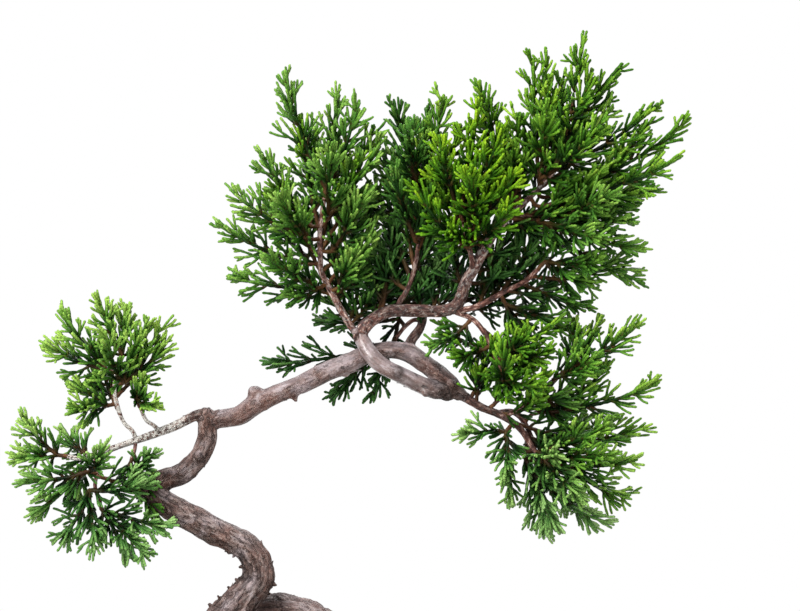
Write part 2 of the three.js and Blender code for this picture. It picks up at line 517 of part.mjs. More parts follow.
// A leafy branchlet is one closed mesh of three-sided stems and shoots. A stem grows on from its
// last ring of three corners, and a shoot takes the place of one triangle of its stem.
class Growth {
  constructor(root, axis, radius) {
    const across = new THREE.Vector3().crossVectors(axis, new THREE.Vector3(0.31, 0.17, 0.93)).normalize();
    this.foot = this.makeRing(root, axis, radius, across);
    this.triangles = [[...this.foot].reverse()];
    this.box = new THREE.Box3().setFromPoints(this.foot);
    obstacles.push(this);
  }

  middle(ring) {
    return ring.reduce((sum, corner) => sum.add(corner), new THREE.Vector3()).divideScalar(3);
  }

  // Three corners around a point, the first of them towards `first`
  makeRing(centre, axis, radius, first) {
    const across = first.clone().addScaledVector(axis, -first.dot(axis)).normalize();
    return [0, 1, 2].map((k) => {
      const arm = across.clone().applyAxisAngle(axis, (k * 2 * Math.PI) / 3);
      return centre.clone().addScaledVector(arm, radius);
    });
  }

  // Grows from a ring or triangle through the points, and returns each stretch's six triangles
  grow(ring, points, radii) {
    const stretches = [];
    let last = ring;
    let from = this.middle(ring);
    points.forEach((point, i) => {
      const axis = points[Math.min(i + 1, points.length - 1)].clone().sub(from).normalize();
      const next = this.makeRing(point, axis, radii[i], last[0].clone().sub(from));
      const triangles = [];
      for (let k = 0; k < 3; k += 1) {
        const m = (k + 1) % 3;
        triangles.push([last[k], last[m], next[m]], [last[k], next[m], next[k]]);
      }
      this.triangles.push(...triangles);
      stretches.push({ triangles, start: from, end: point, axis: point.clone().sub(from).normalize() });
      last = next;
      from = point;
    });
    return { stretches, end: last };
  }

  // Grows a closed stem or shoot, and returns its stretches. Where it would cut through what has
  // already grown, nothing is added and nothing returned.
  extend(start, points, radii) {
    const before = this.triangles;
    this.triangles = before.filter((triangle) => triangle !== start);
    const oldCount = this.triangles.length;
    const { stretches, end } = this.grow(start, points, radii);
    this.triangles.push(end);
    const added = this.triangles.slice(oldCount);
    const reach = new THREE.Box3().setFromPoints(added.flat());
    const near = obstacles.filter((solid) => solid === this || solid.box.intersectsBox(reach))
      .flatMap((solid) => solid.triangles.filter((triangle) => boxOf(triangle).intersectsBox(reach)));
    if (added.some((one) => near.some((other) => areTangled(one, other)))) {
      this.triangles = before;
      return undefined;
    }
    this.box.union(reach);
    return stretches;
  }

  // The free triangles of a stretch that look along a direction, the most nearly so first
  facingTriangles(stretch, direction, least) {
    return stretch.triangles
      .filter((triangle) => this.triangles.includes(triangle))
      .map((triangle) => ({ triangle, score: facing(triangle).dot(direction) }))
      .filter(({ score }) => score > least)
      .sort((a, b) => b.score - a.score)
      .map(({ triangle }) => triangle);
  }

  toGeometry() {
    const geometry = new THREE.BufferGeometry().setFromPoints(this.triangles.flat());
    geometry.computeVertexNormals();
    return geometry;
  }
}

function asObstacle(geometry) {
  const corners = geometry.attributes.position;
  const corner = (i) => new THREE.Vector3().fromBufferAttribute(corners, i);
  const { array } = geometry.index;
  const triangles = [];
  for (let i = 0; i < array.length; i += 3) {
    triangles.push([corner(array[i]), corner(array[i + 1]), corner(array[i + 2])]);
  }
  return { triangles, box: new THREE.Box3().setFromBufferAttribute(corners) };
}

// A plume's stem leaves its twig low and outward and turns up to its tip
function stemCurve(root, tip, bow) {
  const chord = tip.clone().sub(root);
  const middle = root.clone().addScaledVector(chord, 0.5).add(bow);
  middle.add(new THREE.Vector3(0.1 * chord.x, 0.1 * chord.y, -0.07 * chord.length()));
  return new THREE.QuadraticBezierCurve3(root, middle, tip);
}

// Bows that are tried in turn until a stem is clear of its neighbours
const BOWS = [new THREE.Vector3()];
for (let ring = 1; ring <= 5; ring += 1) {
  for (let turn = 0; turn < 8; turn += 1) {
    const angle = (turn * Math.PI) / 4;
    const lift = turn % 2 ? 1 : -1;
    BOWS.push(new THREE.Vector3(1.5 * Math.cos(angle), 2.2 * Math.sin(angle), lift).multiplyScalar(ring));
  }
}

const stemRadius = (t) => THREE.MathUtils.lerp(SHOOT.stemRadius, SHOOT.stemTipRadius, t);

// Grows the stem of a plume from one of the rings or triangles that it may start at, along the
// least bowed curve that is clear of its neighbours
function growStem(growth, starts, tip, node, plume, root) {
  const radii = Array.from({ length: STEM_STRETCHES }, (_, i) => stemRadius((i + 1) / STEM_STRETCHES));
  const tryStem = (start, bow) => {
    const points = stemCurve(growth.middle(start), tip, bow).getPoints(STEM_STRETCHES);
    const isClear = radii.every((_, i) => {
      const from = i === 0 ? points[0].clone().lerp(points[1], 0.5) : points[i];
      return roomAround(from, points[i + 1], stemRadius(i / STEM_STRETCHES), node, plume, root) > 0;
    });
    return isClear ? growth.extend(start, points.slice(1), radii) : undefined;
  };
  for (const bow of BOWS) {
    for (const start of starts) {
      const stretches = tryStem(start, bow);
      if (stretches) {
        stretches.forEach((stretch, i) => placeRod(stretch.start, stretch.end, radii[i], node, plume));
        return stretches;
      }
    }
  }
  throw new Error(`${node} has no room for stem ${plume}`);
}

// A direction at a given angle from an axis, turned round it by an azimuth
function leaningFrom(axis, angle, azimuth) {
  const across = new THREE.Vector3().crossVectors(axis, new THREE.Vector3(0.31, 0.17, 0.93)).normalize();
  across.applyAxisAngle(axis, azimuth);
  return axis.clone().multiplyScalar(Math.cos(angle)).addScaledVector(across, Math.sin(angle)).normalize();
}

// Side shoots stand around a stem by the golden angle, longest near its foot
function growShoots(growth, stretches, reach, node, plume, root, seed) {
  const random = seededRandom(seed);
  for (let i = 0; i < SHOOTS_PER_PLUME; i += 1) {
    const t = 0.12 + (0.8 * (i + 0.5)) / SHOOTS_PER_PLUME;
    const stretch = stretches[Math.min(Math.floor(t * STEM_STRETCHES), STEM_STRETCHES - 1)];
    const angle = THREE.MathUtils.degToRad(42 - 10 * t);
    const full = reach * (1.05 - 0.5 * t) * (0.85 + 0.3 * random());
    for (let attempt = 0; attempt < 12; attempt += 1) {
      const direction = leaningFrom(stretch.axis, angle, GOLDEN_ANGLE * i + seed + 0.5 * attempt);
      const [triangle] = growth.facingTriangles(stretch, direction, 0.2);
      if (triangle) {
        const start = growth.middle(triangle);
        const clear = start.clone().addScaledVector(direction, 1.4);
        const end = start.clone().addScaledVector(direction, full * (1 - 0.04 * attempt));
        const hasRoom = roomAround(clear, end, SHOOT.rootRadius, node, plume, root) > 0;
        if (hasRoom && growth.extend(triangle, [end], [SHOOT.tipRadius])) {
          placeRod(clear, end, SHOOT.rootRadius, node, `${plume} shoot`);
          break;
        }
      }
    }
  }
}

// Where a branchlet's foot starts and the way it points: on from its twig's end, or straight out of
// the twig's side, at the nearest place where the foot's face stands clear of the wood
function placeFoot(twig, towards) {
  const wood = placedRods.filter((rod) => rod.node === 'wood');
  const distances = wood.map((rod) => lineDistance(twig, twig, rod.start, rod.end));
  const nearest = wood[distances.indexOf(Math.min(...distances))];
  const axis = nearest.end.clone().sub(nearest.start).normalize();
  if (nearest.plume === 'tip' && nearest.end.distanceTo(twig) < 0.5) {
    return { root: nearest.end.clone().addScaledVector(axis, GAP), outward: axis };
  }
  const outward = towards.clone().addScaledVector(axis, -towards.dot(axis)).normalize();
  const arms = [0, 1, 2, 3, 4, 5].map((k) => leaningFrom(outward, Math.PI / 2, (k * Math.PI) / 3));
  const away = (point) => Math.min(
    ...wood.map((rod) => lineDistance(point, point, rod.start, rod.end) - rod.radius),
  );
  const root = twig.clone();
  const isClear = () => away(root) > GAP && arms.every(
    (arm) => away(root.clone().addScaledVector(arm, SHOOT.stemRadius)) > GAP,
  );
  while (!isClear()) {
    root.addScaledVector(outward, 0.1);
  }
  return { root, outward };
}

// Builds every leafy branchlet: first all their stems, then the shoots on them
function leafyMeshes(limbs, wood) {
  obstacles.push(asObstacle(wood.geometry));
  limbs.forEach(({ points, radii }) => {
    for (let i = 0; i < points.length - 1; i += 1) {
      const part = i === points.length - 2 ? 'tip' : 'limb';
      placeRod(points[i], points[i + 1], Math.max(radii[i], radii[i + 1]), 'wood', part);
    }
  });
  const branchlets = Object.entries(BRANCHLETS).map(([name, [from, ...plumes]]) => {
    const twig = toVector(from);
    const towards = new THREE.Vector3();
    plumes.forEach((plume) => towards.add(toVector(plume).sub(twig).normalize()));
    const { root, outward } = placeFoot(twig, towards);
    const growth = new Growth(root, outward, SHOOT.stemRadius);
    const footEnd = root.clone().addScaledVector(outward, FOOT_LENGTH);
    const foot = growth.grow(growth.foot, [footEnd], [SHOOT.stemRadius]);
    placeRod(root, footEnd, SHOOT.stemRadius, name, 0);
    const stems = [];
    plumes.forEach((plume, number) => {
      const tip = toVector(plume);
      const direction = tip.clone().sub(root).normalize();
      const starts = number === 0 ? [foot.end] : [foot.stretches[0], stems[0].stretches[0]].flatMap(
        (stretch) => growth.facingTriangles(stretch, direction, -0.3),
      );
      stems.push({ stretches: growStem(growth, starts, tip, name, number, root), number, reach: plume[3] });
    });
    return { name, root, growth, stems };
  });
  return branchlets.map(({ name, root, growth, stems }, order) => {
    stems.forEach(({ stretches, number, reach }) => {
      growShoots(growth, stretches, reach, name, number, root, 17 * order + 5 * number + 3);
    });
    return makeMesh(name, growth.toGeometry(), LOOKS.foliage);
  });
}

const limbPaths = Object.values(LIMBS).map((limb) => ({ ...limbPath(limb), sides: limb[0] }));
const grownWood = woodSolid(limbPaths, GAP);
const wood = makeMesh('wood', toGeometry(woodSolid(limbPaths, 0)), LOOKS.bark);

const bonsai = new THREE.Group();
bonsai.add(makeMesh('pot', toGeometry(potSolid()), LOOKS.clay));
bonsai.add(makeMesh('drain_screen_left', toGeometry(screenSolid(-0.5)), LOOKS.screen));
bonsai.add(makeMesh('drain_screen_right', toGeometry(screenSolid(0.5)), LOOKS.screen));
bonsai.add(makeMesh('soil', toGeometry(soilSolid(grownWood)), LOOKS.soil));
bonsai.add(wood);
bonsai.add(...leafyMeshes(limbPaths, wood));

const box = new THREE.Box3().setFromObject(bonsai);
const middle = box.getCenter(new THREE.Vector3());
bonsai.position.set(-middle.x, -middle.y, -box.min.z);

export default bonsai;
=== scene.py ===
import math
import random

import bmesh
import bpy
import numpy as np
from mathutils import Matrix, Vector, noise


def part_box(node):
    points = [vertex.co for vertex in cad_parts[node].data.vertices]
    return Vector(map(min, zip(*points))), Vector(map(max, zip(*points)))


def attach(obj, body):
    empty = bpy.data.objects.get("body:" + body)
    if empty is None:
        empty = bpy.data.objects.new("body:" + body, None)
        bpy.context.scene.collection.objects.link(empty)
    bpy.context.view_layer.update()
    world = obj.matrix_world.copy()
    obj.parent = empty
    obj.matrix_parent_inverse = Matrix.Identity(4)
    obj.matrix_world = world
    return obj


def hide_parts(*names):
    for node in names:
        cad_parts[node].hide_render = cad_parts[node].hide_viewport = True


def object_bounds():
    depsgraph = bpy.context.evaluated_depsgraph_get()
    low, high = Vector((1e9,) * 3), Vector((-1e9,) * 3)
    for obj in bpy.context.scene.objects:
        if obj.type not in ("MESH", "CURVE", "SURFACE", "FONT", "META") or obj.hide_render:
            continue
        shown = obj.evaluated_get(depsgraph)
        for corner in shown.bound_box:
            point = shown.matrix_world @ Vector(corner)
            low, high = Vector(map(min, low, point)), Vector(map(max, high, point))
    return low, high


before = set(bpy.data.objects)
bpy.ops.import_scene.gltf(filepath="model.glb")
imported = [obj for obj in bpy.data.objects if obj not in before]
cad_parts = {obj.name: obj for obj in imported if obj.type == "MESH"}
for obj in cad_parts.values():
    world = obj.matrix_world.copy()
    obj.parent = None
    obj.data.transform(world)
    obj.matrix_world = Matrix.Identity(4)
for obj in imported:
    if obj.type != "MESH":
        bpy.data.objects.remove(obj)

# An itoigawa juniper bonsai in a plain clay pot. Lengths in the tables are in millimetres, from the
# tree's foot at the soil's level, with the viewer on the -Y side.
cad_low, cad_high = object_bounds()
MM = 0.001
POT_BOTTOM = -32.5
pot_low, pot_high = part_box("pot")
SHIFT = np.array([
    (pot_low.x + pot_high.x) / 2,
    (pot_low.y + pot_high.y) / 2,
    pot_low.z - POT_BOTTOM * MM,
])
GOLDEN = math.radians(137.5)
# A direction that no limb runs along; the directions square to a path start from it
CROSSWISE = np.array([0.31, 0.17, 0.93])
# The kind of attribute and its field by how many numbers it holds
ATTRIBUTE_KINDS = {1: ("FLOAT", "value"), 3: ("FLOAT_VECTOR", "vector"), 4: ("FLOAT_COLOR", "color")}

POT = {"length": 142, "width": 106, "corner": 18, "rim": 3, "bottom": -28, "wall": 6, "floor": 6, "taper": 7}
FOOT = {"height": 4.5, "length": 30, "width": 16, "inset_x": 18, "inset_y": 11}
DRAIN = {"radius": 6.5, "spacing": 64}
SCREEN = {"side": 22, "thickness": 1.2}
SOIL = {"edge": -1.8, "mound": 2.6, "mound_radius": 30, "clearance": 0.8}

# Each limb of the wood is a row of points [x, y, z, radius] along its middle
LIMBS = {
    "foot": [[0, 0, -9, 9], [0, 0, 0, 8.2], [0.9, 0, 10.5, 7], [-0.3, 1, 23, 6.5], [-7.5, 3, 34, 6.4],
             [-18.6, 6, 38.3, 6.3], [-29, 8.5, 37, 6.1], [-39, 8, 32.5, 6], [-44.5, 3, 29.5, 5.9]],
    "rise": [[-45, 4.5, 29.5, 5.7], [-44, -3, 30, 5.9], [-40, -6.5, 34, 5.9], [-34.5, -7, 40, 5.8],
             [-30.6, -6, 44.6, 5], [-27, -5, 48.9, 4.7], [-26.7, -4, 53.1, 4.5], [-28.8, -3, 58, 4.2],
             [-34.2, -2, 61.6, 3.9], [-41.7, -1, 65.4, 3.9], [-52.5, 0, 71.2, 3.9], [-59, 0, 75, 3.5]],
    "elbow": [[-59.5, 0, 74, 3.2], [-58.8, 0.5, 77.6, 3.3], [-55, 1, 79.6, 3.1], [-50.1, 1, 81, 3],
              [-44.6, 0.5, 86, 3], [-41.9, 0, 92, 2.8], [-41.8, 0, 96, 2.8], [-40.8, 0, 99.4, 2.7]],
    "main": [[-42, 0, 97.6, 2.5], [-37.8, 0, 97.8, 2.7], [-32.1, 0, 99, 2.85], [-27.3, 0, 102.3, 3],
             [-23.1, 0, 104.4, 2.85], [-17.1, 0, 106.8, 2.7], [-12.3, 0, 108.9, 2.85], [-5.1, 0.5, 112.5, 2.85],
             [0.9, 1.5, 114.6, 3], [5.4, 2.5, 117, 2.7], [9.3, 3, 118.2, 2.4], [14.4, 3, 118.4, 2.5],
             [18.9, 2.5, 117.3, 2.8], [23.4, 2, 114.3, 2.7], [27.3, 1.5, 111.3, 2.7], [30.9, 1, 108, 2.9],
             [34.5, 0.5, 104.6, 1.9]],
    "shiny_branch": [[29.5, 0.5, 106.6, 2.4], [27.2, -0.6, 106.3, 2.6], [22.5, -1.6, 107.9, 2.5],
                     [16.2, -2.2, 111, 2.4], [10.8, -2.5, 113.7, 2.4], [7.2, -2.5, 117, 2.4],
                     [4.9, -2, 120.9, 2.2], [3.3, -1.5, 123.8, 1.8]],
    "left_twig": [[3.6, -1.7, 123, 1.3], [1.5, -1, 125.2, 1.1], [-1.2, -0.5, 129.6, 1.05],
                  [-3.6, 0, 133.8, 1], [-6, 0, 138.3, 0.95], [-7.8, 0, 141.8, 0.9], [-8, 0, 146.7, 0.85],
                  [-8.1, 0, 153, 0.8], [-7.5, 0, 159, 0.75], [-6.8, 0, 164, 0.65]],
    "crown_branch": [[3.6, -1.8, 122.6, 1.9], [5, -1.4, 125, 1.95], [8.7, -1, 128.2, 1.85],
                     [12.8, -0.5, 130.2, 1.8], [21, 0, 130.2, 1.75], [28, 0, 130.2, 1.75], [32.6, 0, 131.6, 1.8],
                     [34.4, 0, 135, 1.7], [35.6, 0, 138.8, 1.65], [38.1, 0, 142.9, 1.6], [40.5, 0, 147.6, 1.5],
                     [43.5, 0, 152.7, 1.35], [47.4, 0, 157.3, 1.1], [53.4, 0, 162.9, 0.85],
                     [57.3, 0, 166.8, 0.75], [62.4, 0, 172.5, 0.65]],
    "right_twig": [[46.2, 0, 156.4, 0.9], [50, 1, 158.7, 0.8], [55.8, 1.5, 158.6, 0.7], [61, 1, 158, 0.65]],
    "outer_twig": [[31.6, 0, 130.2, 1.1], [37.8, -0.6, 131.1, 0.9], [42.9, -1, 133.5, 0.85],
                   [47.7, -1, 136.2, 0.8], [53.7, -1, 139.3, 0.7], [57.6, -1, 143.1, 0.65]],
    "middle_twig": [[15, -0.4, 130.2, 1], [15.8, 0, 132.8, 0.85], [17.7, 0.5, 135.8, 0.8],
                    [19.8, 1, 141.3, 0.75], [21, 1.5, 146.7, 0.7], [21.8, 1.2, 158, 0.65], [21.5, 0.5, 165, 0.6]],
    "front_twig": [[38, 0, 142.4, 1], [37.2, -2.6, 146.4, 0.8], [36, -5.4, 151.4, 0.75], [34.5, -8, 157.2, 0.65]],
    "back_branch": [[18.2, 2.8, 117.5, 1.6], [19.2, 4, 121, 1.4], [21.6, 7, 124.4, 1.3],
                    [22.8, 10, 127.8, 1.25], [22.5, 14, 131.2, 1.1], [22, 17, 135, 0.95], [22, 19, 139, 0.8]],
    "back_twig": [[22.6, 9.6, 127.2, 0.8], [20, 11.6, 127.4, 0.7], [17.2, 12.4, 125.2, 0.65],
                  [14.4, 13, 121.5, 0.6]],
    "hanging_twig": [[32.4, 0.2, 130.2, 1], [37.6, 0.4, 127.8, 0.8], [40.6, -1, 124.6, 0.75],
                     [44, -3, 117.9, 0.65], [45.9, -4, 111.9, 0.6]],
    "low_branch": [[33.2, 0.6, 105.6, 1.7], [35.8, 0.4, 104.2, 1.4], [40.2, 0, 101.4, 1.2],
                   [46.2, 0, 99, 1.05], [50.4, -0.5, 96.3, 0.95], [52.8, -1, 93.9, 0.85], [56.1, -1, 88.5, 0.75],
                   [60.3, -1, 85.2, 0.65]],
    "low_back_twig": [[45, 0.4, 99.4, 1], [49.8, 2.4, 99.8, 0.9], [53.3, 4, 96.7, 0.8], [55.7, 5, 91.8, 0.7]],
    "side_twig": [[47.6, -0.2, 98.6, 0.8], [52.4, -2, 101.6, 0.7], [56.7, -2.4, 104.7, 0.7],
                  [61.5, -1.8, 109.2, 0.65], [66.3, -1, 112.3, 0.6]],
    "left_branch": [[-41, 0, 99.3, 1.9], [-45.3, 0, 98.9, 1.55], [-50.4, 0, 96.3, 1.4], [-56.1, 0, 93.9, 1.25],
                    [-61.2, 0, 92.1, 1.1], [-65.7, 0, 90.6, 0.95], [-70.8, 0, 88.8, 0.9], [-75.6, 0, 87.2, 0.8],
                    [-80, 0.4, 86, 0.7], [-84.5, 1, 86.6, 0.65]],
    "left_top_twig": [[-63.2, 0, 91.2, 0.8], [-64.2, -0.2, 94, 0.7], [-67, -0.5, 97, 0.65],
                      [-69.6, -1, 105.3, 0.65], [-69.3, -1, 111, 0.6], [-68.1, -1, 114.3, 0.6]],
    "left_mid_twig": [[-55.8, 0, 93.8, 0.7], [-58, -1.4, 96, 0.65], [-60, -2.2, 97.4, 0.6],
                      [-61.8, -3, 101.4, 0.6]],
    "left_short_twig": [[-63.4, 0, 91.3, 0.7], [-63.6, -1.4, 88.6, 0.6], [-64.5, -2.4, 85.5, 0.6]],
    "left_low_twig": [[-75.8, 0, 87.3, 0.8], [-74.8, -2, 83, 0.7], [-75.3, -3, 77.8, 0.65], [-74, -4, 73.5, 0.6]],
    "root_left": [[0, 0, 3, 4.6], [-8, -1, 1.6, 3.2], [-14, -2.4, -0.6, 2.3], [-20, -3, -4.5, 1.2]],
    "root_right": [[0, 0, 3, 4.4], [8, 1.4, 1.4, 3.1], [15, 3, -0.8, 2.1], [21, 6, -4.8, 1.1]],
    "root_front_left": [[0, 0, 3, 4.2], [-4.6, -6.6, 1.4, 2.9], [-7, -13, -1.2, 2], [-8, -18, -5, 1.1]],
    "root_front_right": [[0, 0, 3, 4.2], [5.4, -6, 1.4, 3], [10.4, -11, -0.8, 2.1], [16, -15, -4.6, 1.2]],
    "root_back_left": [[0, 0, 3, 4.2], [-5.4, 6, 1.2, 2.9], [-9, 12, -1.4, 2], [-11, 17, -5, 1.1]],
    "root_back_right": [[0, 0, 3, 4.2], [4, 7, 1.2, 2.9], [6, 13.6, -1.4, 2], [7, 19, -5, 1.1]],
}
# The limbs that are joined into one skin; the others are twigs
THICK = [name for name, stations in LIMBS.items() if max(s[3] for s in stations) >= 1.55]

# How far a limb's bark has turned from the trunk's grey (0) to a young twig's red-brown (1)
YOUTH = dict.fromkeys(THICK, 0.12) | {
    "crown_branch": 0.75, "back_branch": 0.45, "low_branch": 0.7, "left_branch": 0.35, "shiny_branch": 0.0}
# How smooth and glossy a limb's bark is
SMOOTHNESS = {"shiny_branch": 0.95, "main": 0.6, "elbow": 0.2, "rise": 0.14, "foot": 0.3, "crown_branch": 0.3}
# How much darker than the trunk a limb is
DARKNESS = {"crown_branch": 0.44, "back_branch": 0.2, "low_branch": 0.26, "middle_twig": 0.3}
# How much pale flaking skin a limb shows
FLAKING = {"left_branch": 1.0, "left_top_twig": 1.0, "left_mid_twig": 1.0, "left_twig": 0.4, "crown_branch": 0.24}
# Where the bark is darker, dull and gnarled, in joints and inner bends, partly its own colour and partly painted shade
# in these creases: [x, y, z, reach, how much darker]
DARK_PLACES = [
    [31, 0, 106.5, 6.5, 0.32], [-32.6, -6, 52, 4.4, 0.8], [-36, -5, 58.6, 3.6, 0.4], [-38, -8, 45, 3.6, 0.4],
    [-57.5, -1, 76, 5, 0.22], [-44, -1, 98, 4, 0.24], [15.2, -4, 112, 1.8, 0.3],
]

# Healed knobs and stubs of pruned twigs: [start x, y, z, radius, end x, y, z, radius]
KNOBS = [
    [-27.5, 0, 104.6, 2.3, -27.3, -0.2, 107.2, 1.8], [-24.6, -0.6, 102.5, 1.8, -24.8, -1.4, 100.6, 0.9],
    [-38.2, -1.4, 98, 1.7, -38.6, -3.6, 98.6, 1], [-44.2, -1.4, 86, 1.7, -44.4, -4, 86.8, 0.9],
    [-47.4, 0.6, 82.6, 1.8, -45.6, 0.4, 80.6, 0.8], [-8.7, -1.2, 111.5, 1.2, -9.4, -2.4, 113.8, 0.6],
    [-15.6, 0, 105.6, 1.1, -15.4, -0.4, 103, 0.6], [-0.6, 1, 112.6, 1.5, -0.2, 0.4, 110.6, 0.8],
    [15, -3.4, 111.6, 1.7, 15.4, -5, 112.4, 1.1], [29.8, 0.4, 106.4, 2.6, 30.6, -0.8, 104, 1.7],
    [27, -1.5, 106.2, 2.3, 27.8, -3.4, 105.4, 1.5], [31, -0.6, 107.4, 1.9, 32, -2.2, 108.8, 1.2],
    [23.8, -2.4, 106.6, 1.7, 23.4, -3.9, 105, 0.9], [-36, -1, 98, 2, -35.6, -3.2, 98.8, 1.4],
    [-21.2, 0, 106.2, 1.4, -21.6, -0.4, 108, 0.9], [-33, 0.6, 62.6, 1.6, -31.6, -0.2, 64.2, 1],
    [-52.8, -2, 69.6, 1.7, -53.2, -4, 70.6, 1], [-45.4, -0.4, 84.4, 1.6, -46.8, -1.8, 84, 1],
    [-33.2, -3.4, 58.6, 1.2, -31.6, -4.6, 56.6, 0.5], [-36.2, -2.4, 60.2, 1.1, -35.4, -3.6, 57.4, 0.5],
    [-30, -5.6, 50.4, 1.4, -32.8, -7, 49, 0.6], [-32.4, -7.6, 45, 1.4, -35.6, -8.6, 46.4, 0.6],
]


def unit(vector):
    return vector / np.linalg.norm(vector)


def linear(*screen):
    """A shader colour from the 0 to 255 values of a screen colour."""
    shares = [c / 255 for c in screen]
    return tuple(c / 12.92 if c <= 0.04 else ((c + 0.055) / 1.055) ** 2.4 for c in shares) + (1.0,)


def turned(first, second, angle):
    """A direction between two that are square to each other, at an angle from the first."""
    return first * math.cos(angle) + second * math.sin(angle)


def beside(axis, angle):
    """A direction square to an axis, turned about it by an angle."""
    helper = unit(np.cross(axis, CROSSWISE))
    return turned(helper, np.cross(axis, helper), angle)


def run_along(path):
    """How far along a path each of its points is."""
    return np.concatenate([[0], np.cumsum(np.linalg.norm(np.diff(path, axis=0), axis=1))])


def noise_at(places, scale=1.0):
    return np.array([noise.noise(Vector(place) * scale) for place in places])


def places_of(mesh):
    """A mesh's corners in millimetres from the tree's foot."""
    places = np.empty(len(mesh.vertices) * 3)
    mesh.vertices.foreach_get("co", places)
    return (places.reshape(-1, 3) - SHIFT) / MM


def set_smooth(mesh, smooth=True):
    mesh.polygons.foreach_set("use_smooth", np.full(len(mesh.polygons), smooth))


def set_attributes(mesh, **attributes):
    for key, values in attributes.items():
        values = np.asarray(values, dtype=float)
        kind, field = ATTRIBUTE_KINDS[values[0].size]
        mesh.attributes.new(key, kind, "POINT").data.foreach_set(field, values.ravel())


def mesh_object(name, vertices, faces, smooth=True, **attributes):
    """An object from corners in millimetres and a list of arrays of faces, with a row for each face."""
    mesh = bpy.data.meshes.new(name)
    vertices = np.asarray(vertices, dtype=float) * MM + SHIFT
    mesh.vertices.add(len(vertices))
    mesh.vertices.foreach_set("co", vertices.ravel())
    sizes = np.concatenate([np.full(len(rows), rows.shape[1]) for rows in faces])
    loops = np.concatenate([rows.ravel() for rows in faces])
    mesh.loops.add(len(loops))
    mesh.loops.foreach_set("vertex_index", loops.astype(np.int32))
    mesh.polygons.add(len(sizes))
    mesh.polygons.foreach_set("loop_start", np.concatenate([[0], np.cumsum(sizes)[:-1]]).astype(np.int32))
    set_smooth(mesh, smooth)
    set_attributes(mesh, **attributes)
    mesh.update(calc_edges=True)
    mesh.validate()
    obj = bpy.data.objects.new(name, mesh)
    bpy.context.scene.collection.objects.link(obj)
    return obj


def apply_modifiers(obj):
    depsgraph = bpy.context.evaluated_depsgraph_get()
    obj.data = bpy.data.meshes.new_from_object(obj.evaluated_get(depsgraph))
    obj.modifiers.clear()


def declare(obj, slot, material, *nodes):
    obj.data.materials.clear()
    obj.data.materials.append(material)
    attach(obj, "root")
    if nodes:
        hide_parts(*nodes)


def frames_along(path):
    """The directions along a path and crosswise directions that turn as little as they can."""
    tangents = np.gradient(path, axis=0)
    tangents /= np.linalg.norm(tangents, axis=1)[:, None]
    normals = np.empty_like(path)
    normal = CROSSWISE
    for i, tangent in enumerate(tangents):
        normal = normal - normal.dot(tangent) * tangent
        size = np.linalg.norm(normal)
        normal = normal / size if size > 1e-6 else unit(np.cross(tangent, [0.7, 0.5, 0.2]))
        normals[i] = normal
    return tangents, normals


def rings(path, radii, sides, weights=1.0):
    """Corners of rings around a path: (rings, sides, 3)."""
    tangents, normals = frames_along(path)
    angles = 2 * np.pi * np.arange(sides) / sides
    reach = np.asarray(radii, dtype=float)[:, None] * np.ones(sides) * weights
    cosines, sines = np.cos(angles)[None, :, None], np.sin(angles)[None, :, None]
    return path[:, None] + reach[..., None] * (
        cosines * normals[:, None] + sines * np.cross(tangents, normals)[:, None])


def tube_faces(count, sides):
    """Quads of a tube of rings."""
    j = np.arange(sides)
    k = (j + 1) % sides
    base = sides * np.arange(count - 1)[:, None]
    return np.stack([base + j, base + k, base + sides + k, base + sides + j], axis=-1).reshape(-1, 4)


def grid_faces(rows, columns):
    """Quads of a sheet of corners in rows and columns."""
    first = (np.arange(rows - 1)[:, None] * columns + np.arange(columns - 1)).reshape(-1, 1)
    return first + np.array([0, 1, columns + 1, columns])


def loft(rows):
    """A closed body through rings of corners."""
    vertices = np.array(rows, dtype=float).reshape(-1, 3)
    sides = len(rows[0])
    caps = np.array([np.arange(sides)[::-1], len(vertices) - sides + np.arange(sides)])
    return vertices, [tube_faces(len(rows), sides), caps]


class Parts:
    """Gathers the corners and the faces of one mesh."""

    def __init__(self):
        self.vertices, self.faces, self.count = [], {}, 0

    def add(self, corners, *faces):
        """Corners, and arrays of the faces between them with a row for each face."""
        for rows in faces:
            self.faces.setdefault(rows.shape[1], []).append(rows + self.count)
        self.vertices.append(corners)
        self.count += len(corners)

    def add_tube(self, path, radii, sides, weights=1.0):
        corners, faces = loft(rings(path, radii, sides, weights))
        self.add(corners, *faces)

    def gathered(self):
        return np.concatenate(self.vertices), [np.concatenate(rows) for rows in self.faces.values()]


def smooth_path(stations, step):
    """Evenly sampled points and radii along a smooth curve through [x, y, z, radius] stations."""
    stations = np.asarray(stations, dtype=float)
    points = np.vstack([2 * stations[0] - stations[1], stations, 2 * stations[-1] - stations[-2]])
    samples = []
    for i in range(1, len(points) - 2):
        four = points[i - 1:i + 3]
        spans = np.sqrt(np.linalg.norm(np.diff(four[:, :3], axis=0), axis=1))
        knots = np.concatenate([[0], np.cumsum(spans)])
        u = np.linspace(knots[1], knots[2], 13)[:-1, None]

        def between(a, b, low, high):
            width = knots[high] - knots[low]
            return (knots[high] - u) / width * a + (u - knots[low]) / width * b

        a, b, c = (between(four[k], four[k + 1], k, k + 1) for k in range(3))
        curve = between(between(a, b, 0, 2), between(b, c, 1, 3), 1, 2)
        start, end = four[1:3, 3]
        curve[:, 3] = start + (end - start) * (u[:, 0] - knots[1]) / (knots[2] - knots[1])
        samples.append(curve)
    dense = np.vstack(samples + [stations[-1:]])
    along = run_along(dense[:, :3])
    count = max(3, int(round(along[-1] / step)) + 1)
    places = np.linspace(0, along[-1], count)
    return np.stack([np.interp(places, along, dense[:, c]) for c in range(4)], axis=1)


# Materials

